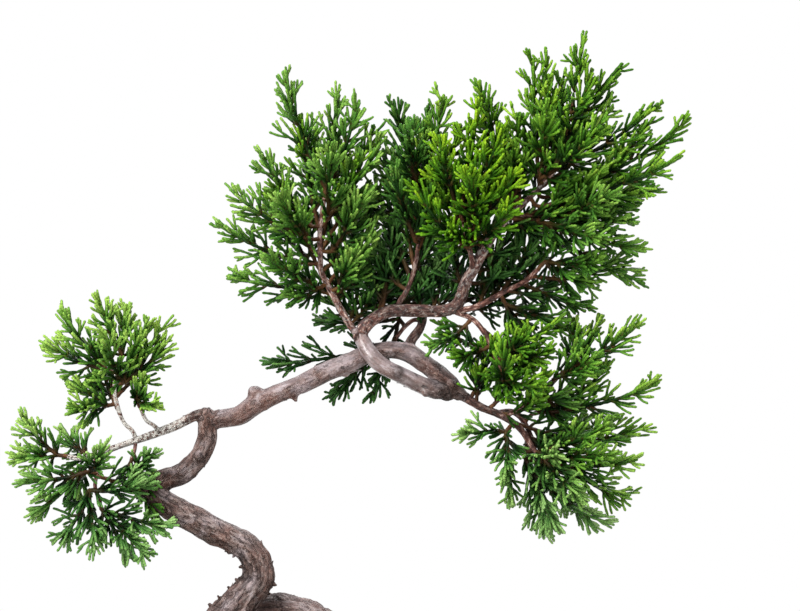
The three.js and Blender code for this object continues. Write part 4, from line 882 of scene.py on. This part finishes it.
# More sprays that fill the crown: [twig, share of its length, tip x, y, z, blueness]
FILLING_SPRAYS = [
    ["middle_twig", 0.4, 15.3, 8, 177, 0.5], ["left_twig", 0.42, 11.4, 6, 171, 0.5],
    ["crown_branch", 0.12, 14, 9, 158, 0.8], ["middle_twig", 0.75, 23.4, 6, 187, 0.3],
    ["middle_twig", 0.3, 26, 8, 160, 0.7], ["crown_branch", 0.72, 59.4, 7, 162, 0.6],
    ["outer_twig", 0.5, 56.4, 6, 154, 0.8], ["crown_branch", 0.52, 51, 9, 151, 0.8],
    ["outer_twig", 0.9, 84, 4, 146, 0.5],
    ["outer_twig", 0.6, 63, 6, 138, 0.8], ["low_branch", 0.55, 80, 5, 95, 0.6],
    ["side_twig", 0.5, 71, 6, 101, 0.6], ["low_branch", 0.7, 65, 7, 92, 0.7],
    ["left_twig", 0.7, -2, 6, 180, 0.3], ["left_twig", 0.5, -15, 5, 161, 0.5],
    ["left_twig", 0.5, 5.4, 6, 159, 0.5], ["left_twig", 0.34, -17, 4, 143, 0.6],
    ["left_twig", 0.34, 6, 7, 144, 0.7], ["crown_branch", 0.85, 66, 8, 183, 0.4],
    ["hanging_twig", 0.4, 55, 4, 118, 0.6], ["crown_branch", 0.62, 33, 8, 165, 0.6],
    ["front_twig", 0.6, 36, -9, 185, 0.0], ["front_twig", 0.9, 46, -8, 177, 0.0],
    ["front_twig", 0.75, 27, -8, 177, 0.1], ["crown_branch", 0.82, 51, -4, 189, 0.1],
    ["crown_branch", 0.9, 71, 3, 192, 0.2], ["right_twig", 0.7, 85, 1, 180, 0.2],
    ["crown_branch", 0.95, 61, 3, 199, 0.1], ["right_twig", 0.5, 77, -4, 173, 0.2],
    ["hanging_twig", 0.6, 61, -5, 125, 0.1], ["side_twig", 0.3, 74, 2, 113, 0.4],
    ["hanging_twig", 0.85, 56, -6, 113, 0.1], ["hanging_twig", 0.25, 25, -3, 119.5, 0.4],
    ["left_twig", 0.6, -22, -3, 168, 0.2], ["left_twig", 0.8, 4, -4, 176, 0.1],
    ["middle_twig", 0.55, 28, 1, 172, 0.4], ["right_twig", 0.3, 61, 7, 151, 0.7],
    ["middle_twig", 0.9, 29, 2, 195, 0.2], ["crown_branch", 0.8, 41, 0, 196, 0.1],
    ["crown_branch", 0.78, 46, 5, 186, 0.4], ["middle_twig", 0.8, 34, -2, 186, 0.1],
    ["front_twig", 0.5, 44, -10, 168, 0.0], ["front_twig", 0.4, 28, -9, 166, 0.1],
    ["crown_branch", 0.66, 40, 7, 175, 0.6], ["crown_branch", 0.97, 73, -2, 201, 0.1],
    ["crown_branch", 0.92, 56, 4, 206, 0.1], ["right_twig", 0.9, 92, 0, 188, 0.2],
    ["right_twig", 0.8, 94, 2, 177, 0.3], ["crown_branch", 0.9, 80, 6, 192, 0.3],
    ["right_twig", 0.6, 88, 5, 169, 0.5], ["right_twig", 0.2, 70, -5, 163, 0.2],
    ["left_twig", 0.75, -14, 0, 189, 0.1], ["left_twig", 0.65, 8, 3, 186, 0.2],
    ["crown_branch", 0.3, 30, 10, 148, 0.9], ["crown_branch", 0.4, 46, 12, 142, 0.9],
    ["crown_branch", 0.48, 58, 11, 147, 0.9], ["crown_branch", 0.55, 40, 12, 157, 0.9],
    ["outer_twig", 0.4, 50, 9, 146, 0.8], ["outer_twig", 0.3, 44, 7, 150, 0.8],
    ["low_branch", 0.12, 44, -4, 122, 0.1], ["low_branch", 0.18, 40, -4, 114, 0.1],
    ["low_branch", 0.3, 54, -5, 117, 0.1], ["hanging_twig", 0.7, 48, -8, 104, 0.1],
    ["low_branch", 0.4, 58, -6, 104, 0.2], ["side_twig", 0.2, 60, -7, 112, 0.1],
    ["left_top_twig", 0.6, -56, -1, 125, 0.3], ["left_top_twig", 0.4, -76, 2, 121, 0.3],
    ["left_low_twig", 0.5, -58, -2, 80, 0.4], ["left_short_twig", 0.7, -57, -4, 68, 0.4],
    ["back_branch", 0.8, 29, 14, 150, 0.9], ["back_branch", 0.6, 14, 15, 146, 0.9],
    ["back_branch", 0.95, 20, 16, 160, 0.9], ["middle_twig", 0.2, 6, 7, 150, 0.8],
    ["crown_branch", 0.16, 27, 9, 144, 0.9], ["left_twig", 0.25, -4, 8, 148, 0.8],
    ["left_twig", 0.12, 4, 9, 141, 0.8], ["crown_branch", 0.08, 12, 11, 143, 0.9],
    ["outer_twig", 0.15, 50, 9, 136, 0.8], ["crown_branch", 0.58, 54, 9, 158, 0.8],
    ["crown_branch", 0.3, 35, 8, 141, 0.8], ["crown_branch", 0.26, 22, 10, 140, 0.9],
    ["left_twig", 0.08, -6, 7, 138, 0.6], ["left_twig", 0.1, 9, 6, 138, 0.6],
    ["crown_branch", 0.45, 31, 8, 155, 0.8], ["crown_branch", 0.1, 15, 11, 161, 0.9],
    ["crown_branch", 0.75, 53, 9, 170, 0.8], ["crown_branch", 0.24, 27, 12, 138, 0.9],
    ["middle_twig", 0.3, 11, 10, 170, 0.85],
]


def skeleton(node):
    """The stems of a leafy solid and the two ends of each of its shoots, in millimetres from the tree's foot."""
    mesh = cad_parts[node].data
    corners, same = np.unique(np.round(places_of(mesh), 3), axis=0, return_inverse=True)
    same = same.reshape(-1)
    faces = [tuple(same[i] for i in polygon.vertices) for polygon in mesh.polygons]
    neighbours = [set() for _ in corners]
    for face in faces:
        for corner in face:
            neighbours[corner].update(face)

    def caps(side):
        """The end faces whose sides have one length."""
        rings_of_faces = ((face, corners[list(face)]) for face in faces)
        return [set(face) for face, ring in rings_of_faces
                if np.all(abs(np.linalg.norm(ring - np.roll(ring, 1, axis=0), axis=1) - side) < 0.006)]

    def middle(ring):
        return corners[list(ring)].mean(axis=0)

    def around(ring):
        return set().union(*(neighbours[i] for i in ring)) - ring

    shoot_tips = caps(TIP_SIDE)
    taken = set().union(*shoot_tips)
    stems = []
    for tip in caps(STEM_TIP_SIDE):
        walk = [tip]
        while len(walk) < STEM_STRETCHES:
            walk.append(around(walk[-1]) - taken - (walk[-2] if len(walk) > 1 else set()))
        stems.append(walk)
    foot = caps(FOOT_SIDE)[0]
    foot_end = around(foot) - taken - set().union(*(walk[-1] for walk in stems))
    stem_paths = [np.array([middle(ring) for ring in (foot, foot_end, *reversed(walk))]) for walk in stems]
    return stem_paths, [(middle(around(tip)), middle(tip)) for tip in shoot_tips]


BOX_MARGIN = 0.7
BOX_LOW = (np.array(cad_low) - SHIFT) / MM + BOX_MARGIN
BOX_HIGH = (np.array(cad_high) - SHIFT) / MM - BOX_MARGIN


def within_box(path):
    """The path, shortened where it would leave the tree's box."""
    reach = path[-1] - path[0]
    room = np.where(reach > 0, BOX_HIGH - path[0], BOX_LOW - path[0])
    shares = room / np.where(abs(reach) < 1e-6, 1e-6, reach)
    share = float(np.clip(shares, 0.25, 1).min())
    return path[0] + (path - path[0]) * share


def curve(start, direction, length, towards, bend):
    """Points of a shoot that leaves one way and bends towards another."""
    count = max(2, int(round(length / RING_STEP)) + 1)
    u = np.linspace(0, 1, count)[:, None]
    last = unit(direction * (1 - bend) + towards * bend)
    return start + length * (u * direction + 0.5 * u * u * (last - direction))


class Spray(Parts):
    """Grows the shoots of one leafy piece as rods, and gathers them."""

    def __init__(self, seed, blueness, lift):
        super().__init__()
        self.random = random.Random(seed)
        self.blueness = blueness
        self.lift = lift + self.random.uniform(-0.05, 0.05)
        self.stem = None
        self.tones, self.scales = [], []

    def outness(self, points):
        """How far out in the plume each point is, from 0 at the foot of its stem to 1 at its outside."""
        distances = np.linalg.norm(points[:, None] - self.stem[None], axis=2)
        past_middle = (distances.argmin(axis=1) / (len(self.stem) - 1) - 0.45) / 0.55
        return np.clip(distances.min(axis=1) / 7.0 + 0.8 * np.clip(past_middle, 0, 1), 0, 1)

    def rod(self, path, radius_start, radius_end, glow, woody=0.0, woody_share=0.3):
        """A closed rod with a rounded tip, ringed by scale leaves."""
        path = within_box(path)
        count = len(path)
        u = np.linspace(0, 1, count)
        radii = np.append(radius_start + (radius_end - radius_start) * u, radius_end * 0.66)
        parity = (np.arange(count)[:, None] + np.arange(ROD_SIDES)) % 2
        weights = np.vstack([1 + SCALE_RELIEF * (2 * parity - 1), np.ones(ROD_SIDES)])
        direction = unit(path[-1] - path[-2])
        cap_path = np.vstack([path, path[-1] + direction * radius_end * 0.75])
        corners = rings(cap_path, radii, ROD_SIDES, weights).reshape(-1, 3)
        apex = path[-1] + direction * radius_end * 1.15
        self.add(np.vstack([corners, apex]), tube_faces(count + 1, ROD_SIDES), ROD_TIP + count * ROD_SIDES, ROD_FOOT)

        length = run_along(path)[-1]
        run = np.append(u * length, length + radius_end * 0.6)
        u = np.append(u, 1.0)
        chance = self.random.random()
        # Painted shade and light: the tone is darker deep in the plume near the foot of its stem and lighter with more
        # glow and lift; the small rise towards the tip is the young growth's own colour.
        tip = self.outness(cap_path) * (0.36 + 0.42 * glow + self.lift) + 0.06 * u ** 1.5
        tones = np.full((count + 1, 4), [0, chance, self.blueness, 0])
        tones[:, 0] = np.clip(tip, 0, 1)
        tones[:, 3] = woody * np.clip(1 - u / woody_share, 0, 1)
        self.tones.append(np.vstack([np.repeat(tones, ROD_SIDES, axis=0), tones[-1:]]))
        scales = run[:, None] / SCALE_PITCH + 0.22 * np.cos(2 * ROD_ANGLES) + chance
        self.scales.append(np.append(scales.ravel(), scales[-1].mean() + 0.3))

    def bud(self, start, tangent, across, degrees, length, glow):
        """A short shoot that leaves at an angle and bends forward."""
        path = curve(start, turned(tangent, across, math.radians(degrees)), length, tangent, 0.3)
        self.rod(path, *BUD_RADII, glow)

    def side_shoots(self, path, plane, glow, first):
        """Long side shoots low on a shoot and short buds near its tip, left and right in turn, combed forward."""
        rand = self.random
        along = run_along(path)
        total = along[-1]
        place = total * first * rand.uniform(0.7, 1.3)
        sign = rand.choice((-1, 1))
        budding = rand.random() < glow - 0.35
        while place < total - (1.2 if budding else 2.2):
            left = total - place
            start = np.array([np.interp(place, along, path[:, c]) for c in range(3)])
            i = min(int(np.searchsorted(along, place, side="right")), len(path) - 1)
            tangent = unit(path[i] - path[i - 1])
            across = unit(np.cross(plane, tangent)) * sign
            across = unit(turned(across, plane, rand.uniform(-0.7, 0.7)))
            if left > 2.9:
                angle = math.radians(rand.uniform(26, 38))
                length = min(9.5, left * rand.uniform(0.66, 1.04) + 0.8)
                direction = turned(tangent, across, angle)
                side = curve(start, direction, length, unit(tangent + RISE), 0.5)
                self.rod(side, *SIDE_RADII, glow)
                for share, turn in ((0.45, sign), (0.68, -sign)):
                    if length > 4.2 and rand.random() < 0.26:
                        bud_start = side[0] + (side[-1] - side[0]) * share
                        bud_across = unit(np.cross(plane, direction)) * turn
                        self.bud(bud_start, direction, bud_across, rand.uniform(26, 38), rand.uniform(1.4, 3.2), glow)
                place += rand.uniform(2.2, 3.4)
            else:
                if budding:
                    degrees, length = rand.uniform(27, 40), rand.uniform(1.1, 2.0)
                else:
                    degrees, length = rand.uniform(20, 31), left * rand.uniform(0.75, 1.1)
                self.bud(start, tangent, across, degrees, length, glow)
                place += rand.uniform(1.6, 2.6)
            sign = -sign

    def extra_shoots(self, fine, count, seed, reach):
        """The share of the stem, foot and tip of shoots that stand around a stem in a spiral."""
        rand = self.random
        along = run_along(fine)
        for i in range(count):
            t = 0.12 + 0.86 * (i + rand.uniform(0.2, 0.8)) / count
            near = min(len(fine) - 1, max(1, int(np.searchsorted(along, t * along[-1]))))
            axis = unit(fine[near] - fine[near - 1])
            direction = turned(axis, beside(axis, GOLDEN * i + 1.1 + seed), math.radians(48 - 18 * t))
            length = reach * (1.0 - 0.56 * t) * rand.uniform(0.7, 1.06)
            yield t, fine[near - 1], fine[near - 1] + direction * length

    def plume(self, fine, own, extra, seed, reach, first_stem=True):
        """A bare stem, its own shoots and more between them. own holds the two ends of each own shoot."""
        rand = self.random
        along = run_along(fine)
        total = along[-1]
        self.stem = fine
        buried = np.vstack([fine[0] + unit(fine[0] - fine[1]) * 1.2, fine])
        self.rod(buried, *STEM_RADII, 0.9, 1.0 if first_stem else 0.8, 0.42)
        mains = []
        for start, tip in own:
            near = int(np.linalg.norm(fine - start, axis=1).argmin())
            t = along[near] / total
            mains.append((t, fine[max(0, near - 1)], start + (tip - start) * (1 - 0.34 * max(0.0, (t - 0.55) / 0.45))))
        mains.extend(self.extra_shoots(fine, extra, seed, reach))
        for t, start, tip in mains:
            chord = tip - start
            length = np.linalg.norm(chord)
            near = min(len(fine) - 2, int(np.searchsorted(along, t * total)))
            axis = unit(fine[near + 1] - fine[near])
            outward = chord - chord.dot(axis) * axis
            if np.linalg.norm(outward) < 1e-3:
                outward = np.cross(axis, [0.3, 0.8, 0.5])
            outward = unit(outward)
            u = np.linspace(0, 1, max(3, int(round(length / RING_STEP)) + 1))[:, None]
            path = start + u * chord + (u * (1 - u)) * outward * length * 0.26
            # Glow lightens a main shoot's tone: painted light on shoots that point up, and the lighter young growth
            # further out along the stem.
            glow = np.clip((0.56 + 0.28 * unit(chord)[2] + 0.34 * t) * rand.uniform(0.7, 1.1), 0, 1)
            self.rod(path, *MAIN_RADII, glow, 0.5)
            plane = unit(np.cross(outward, axis))
            plane = unit(turned(plane, unit(np.cross(plane, chord)), rand.uniform(-0.9, 0.9)))
            self.side_shoots(path, plane, glow, 0.2)
        plane = unit(np.cross(fine[-1] - fine[0], [0.2, -0.9, 0.4]))
        self.side_shoots(fine[int(len(fine) * 0.6):], plane, 0.9, 0.1)

    def build(self, name, *nodes):
        piece = mesh_object(name, *self.gathered(), tone=np.concatenate(self.tones), scales=np.concatenate(self.scales))
        declare(piece, "foliage", foliage, *nodes)


def fine_stem(points):
    return smooth_path(np.column_stack([points, np.ones(len(points))]), STEM_STEP)[:, :3]


def grow_spray(node, seed):
    """A leafy piece on the skeleton of a leafy solid."""
    kind = node.split("_")[1]
    spray = Spray(seed, BLUENESS[kind], LIFT.get(kind, 0.0))
    stem_paths, shoots = skeleton(node)
    if kind in GRADED:
        levels, bluenesses, lifts = GRADED[kind]
        height = stem_paths[0][-1, 2]
        spray.blueness = float(np.interp(height, levels, bluenesses))
        spray.lift += float(np.interp(height, levels, lifts))
    stems = [(fine_stem(points), []) for points in stem_paths]
    for start, tip in shoots:
        distances = [np.linalg.norm(fine - start, axis=1).min() for fine, _ in stems]
        stems[int(np.argmin(distances))][1].append((start, tip))
    for number, (fine, own) in enumerate(stems):
        reach = 1.32 * float(np.mean([np.linalg.norm(tip - start) for start, tip in own])) if own else 9.0
        spray.plume(fine, own, EXTRA_SHOOTS, seed, reach, number == 0)
    spray.build(node + "_foliage", node)


def grow_filling_spray(number, twig, share, x, y, z, blueness):
    """A spray that springs from the side of a twig and bends up to its tip."""
    # Painted shade: the bluest sprays fill the back of the crown, and their tone is darker the bluer they are.
    spray = Spray(FILLING_SEED + number, blueness, -0.02 - 0.9 * max(0.0, blueness - 0.6))
    path = twig_paths[twig]
    start = path[int(share * (len(path) - 1)), :3]
    chord = np.array([x, y, z], dtype=float) - start
    length = np.linalg.norm(chord)
    middle = start + chord * 0.45 + np.array([0, 0.08, -0.1]) * length
    spray.plume(fine_stem([start, middle, [x, y, z]])[1:], [], FILLING_SHOOTS, number, min(13.0, 0.44 * length + 2))
    spray.build("filling_spray_%d" % (number + 1))


foliage = foliage_material()
for number, node in enumerate(sorted(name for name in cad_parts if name.startswith("leafy_"))):
    grow_spray(node, LEAFY_SEED + number)
for number, row in enumerate(FILLING_SPRAYS):
    grow_filling_spray(number, *row)


# Pot, screens and soil

FLOOR_LEVEL = POT["bottom"] + POT["floor"]


def rounded_ring(half_length, half_width, radius, z, steps, middle=(0, 0)):
    """Corners of a level rectangle with rounded corners."""
    ring = []
    for corner, (sx, sy) in enumerate(((1, 1), (-1, 1), (-1, -1), (1, -1))):
        for step in range(steps + 1):
            angle = math.pi / 2 * (corner + step / steps)
            ring.append((sx * (half_length - radius) + radius * math.cos(angle) + middle[0],
                         sy * (half_width - radius) + radius * math.sin(angle) + middle[1], z))
    return ring


def pot_ring(inset, z, steps=14):
    return rounded_ring(POT["length"] / 2 - inset, POT["width"] / 2 - inset, max(POT["corner"] - inset, 1), z, steps)


def pot_profile():
    """Insets and levels, up the pot's outside, over its rim and down its inside."""
    bottom, rim, taper, wall = POT["bottom"], POT["rim"], POT["taper"], POT["wall"]
    inner = taper + wall
    return [
        (taper + 1.8, bottom), (taper + 0.9, bottom + 0.2), (taper + 0.25, bottom + 0.8), (taper, bottom + 1.7),
        (6.1, bottom + 6), (5.0, rim - 14), (3.7, rim - 9.6), (3.3, rim - 8.9), (2.4, rim - 8.3), (1.2, rim - 7.9),
        (0.35, rim - 7.4), (0, rim - 6.6), (0, rim - 1.3), (0.25, rim - 0.5), (0.8, rim - 0.05), (1.6, rim),
        (wall - 1.2, rim), (wall - 0.3, rim - 0.2), (wall + 0.25, rim - 0.8), (wall + 0.45, rim - 1.6),
        (inner, FLOOR_LEVEL + 1.6), (inner + 0.6, FLOOR_LEVEL + 0.4), (inner + 1.8, FLOOR_LEVEL),
    ]


def foot_block(sx, sy):
    middle = (sx * (POT["length"] / 2 - POT["taper"] - FOOT["inset_x"]),
              sy * (POT["width"] / 2 - POT["taper"] - FOOT["inset_y"]))
    low = -FOOT["height"]
    rows = []
    for inset, z in ((3.0, low), (2.2, low + 0.25), (1.8, low + 0.9), (0.6, -0.6), (0.0, 1.2)):
        sides = FOOT["length"] / 2 - inset, FOOT["width"] / 2 - inset
        rows.append(rounded_ring(*sides, 5 - inset * 0.5, POT["bottom"] + z, 6, middle))
    return mesh_object("foot", *loft(rows))


def drain_cutter(side):
    middle, radius = side * DRAIN["spacing"] / 2, DRAIN["radius"]
    angles = np.linspace(0, 2 * math.pi, 40, endpoint=False)
    return mesh_object("cutter", *loft([
        [(middle + radius * math.cos(a), radius * math.sin(a), z) for a in angles]
        for z in (POT["bottom"] - 4, FLOOR_LEVEL + 4)]))


pot = mesh_object("clay_pot", *loft([pot_ring(inset, z) for inset, z in pot_profile()]))
tools = [(foot_block(sx, sy), "UNION") for sx in (-1, 1) for sy in (-1, 1)]
tools += [(drain_cutter(side), "DIFFERENCE") for side in (-1, 1)]
for tool, operation in tools:
    cut = pot.modifiers.new("cut", "BOOLEAN")
    cut.object = tool
    cut.operation = operation
    cut.solver = "EXACT"
    apply_modifiers(pot)
    bpy.data.objects.remove(tool)
declare(pot, "clay", clay_material(), "pot")
set_smooth(pot.data)
pot.data.set_sharp_from_angle(angle=math.radians(40))

SCREEN_CELLS = 8
SCREEN_WIRE = 1.0
screen_plastic = screen_material()
screen_level = FLOOR_LEVEL + 0.35 + SCREEN["thickness"] / 2
screen_line = np.linspace(-0.5, 0.5, SCREEN_CELLS + 1) * (SCREEN["side"] - 1.2)
for name, side in (("drain_screen_left", -1), ("drain_screen_right", 1)):
    grid = [(side * DRAIN["spacing"] / 2 + x, y, screen_level) for y in screen_line for x in screen_line]
    piece = mesh_object(name + "_mesh", grid, [grid_faces(SCREEN_CELLS + 1, SCREEN_CELLS + 1)], smooth=False)
    wire = piece.modifiers.new("wire", "WIREFRAME")
    wire.thickness = SCREEN_WIRE * MM
    wire.use_even_offset = True
    wire.use_boundary = True
    apply_modifiers(piece)
    declare(piece, "screen", screen_plastic, name)


def soil_level(x, y):
    return SOIL["edge"] + SOIL["mound"] * math.exp(-(x * x + y * y) / (2 * SOIL["mound_radius"] ** 2))


def inside_pot(x, y, inset):
    radius = POT["corner"] - inset
    dx = max(abs(x) - (POT["length"] / 2 - inset - radius), 0)
    dy = max(abs(y) - (POT["width"] / 2 - inset - radius), 0)
    return math.hypot(dx, dy) <= radius


def soil_body():
    """The filled block: its top is an uneven sheet, its sides follow the pot's inside."""
    edge = POT["wall"] + SOIL["clearance"] + 0.3
    inner = POT["taper"] + POT["wall"] + 0.4
    profile = ((inner + 1.5, FLOOR_LEVEL + 0.4), (inner, FLOOR_LEVEL + 2), (edge, SOIL["edge"] - 0.6))
    rows = [pot_ring(inset, z, 6) for inset, z in profile]
    for share in (0.97, 0.88, 0.76, 0.62, 0.48, 0.34, 0.2, 0.08):
        places = [(x * share, y * share) for x, y, _ in pot_ring(edge, 0, 6)]
        rows.append([(x, y, soil_level(x, y) - 0.9 + 0.5 * noise.noise(Vector((x, y, 4)) * 0.4)) for x, y in places])
    return loft(rows)


GRANULE_PITCH = 3.0
GRANULE_SIZES = (1.1, 1.4, 1.6, 1.8, 2.1)


def granules():
    """Baked clay and pumice granules, in a loose layer over the soil, and a chance for each corner."""
    rand = random.Random(7)
    template = bmesh.new()
    bmesh.ops.create_icosphere(template, subdivisions=2, radius=1.0)
    shape = np.array([v.co[:] for v in template.verts])
    triangles = np.array([[v.index for v in f.verts] for f in template.faces])
    template.free()
    low_wood = frames[frames[:, 2] < 8]
    parts, chances = Parts(), []
    rows, columns = (int(POT[key] / GRANULE_PITCH) + 2 for key in ("width", "length"))
    for row, column in np.ndindex(rows, columns):
        x = (column - columns / 2 + 0.5 * (row % 2)) * GRANULE_PITCH + rand.uniform(-0.8, 0.8)
        y = (row - rows / 2) * GRANULE_PITCH + rand.uniform(-0.8, 0.8)
        size = rand.choice(GRANULE_SIZES) * rand.uniform(0.85, 1.1)
        if not inside_pot(x, y, POT["wall"] + 1.0 + size * 0.8):
            continue
        place = np.array([x, y, soil_level(x, y) + rand.uniform(-0.9, 0.15) - 0.15 * size])
        if (np.linalg.norm(low_wood[:, :3] - place, axis=1) - low_wood[:, 9]).min() < size * 0.35:
            continue
        stretch = np.array([rand.uniform(0.75, 1.2), rand.uniform(0.75, 1.2), rand.uniform(0.6, 0.95)])
        spin = rand.uniform(0, 2 * math.pi)
        turn = np.array([[math.cos(spin), -math.sin(spin), 0], [math.sin(spin), math.cos(spin), 0], [0, 0, 1]])
        here = Vector((parts.count, row, column))
        lumps = np.array([1 + 0.34 * noise.noise(Vector(corner * 1.3) + here) for corner in shape])
        parts.add((shape * lumps[:, None] * stretch * size) @ turn.T + place, triangles)
        chances.append(np.full(len(shape), rand.random()))
    return *parts.gathered(), np.concatenate(chances)


soil_vertices, soil_faces = soil_body()
soil = mesh_object("soil_bed", soil_vertices, soil_faces, chance=np.full(len(soil_vertices), 0.4))
declare(soil, "soil", soil_material("soil_bed", 0.55), "soil")
grain_vertices, grain_faces, grain_chance = granules()
grains = mesh_object("soil_granules", grain_vertices, grain_faces, smooth=False, chance=grain_chance)
declare(grains, "soil", soil_material("soil_granules", 0.0), "soil")
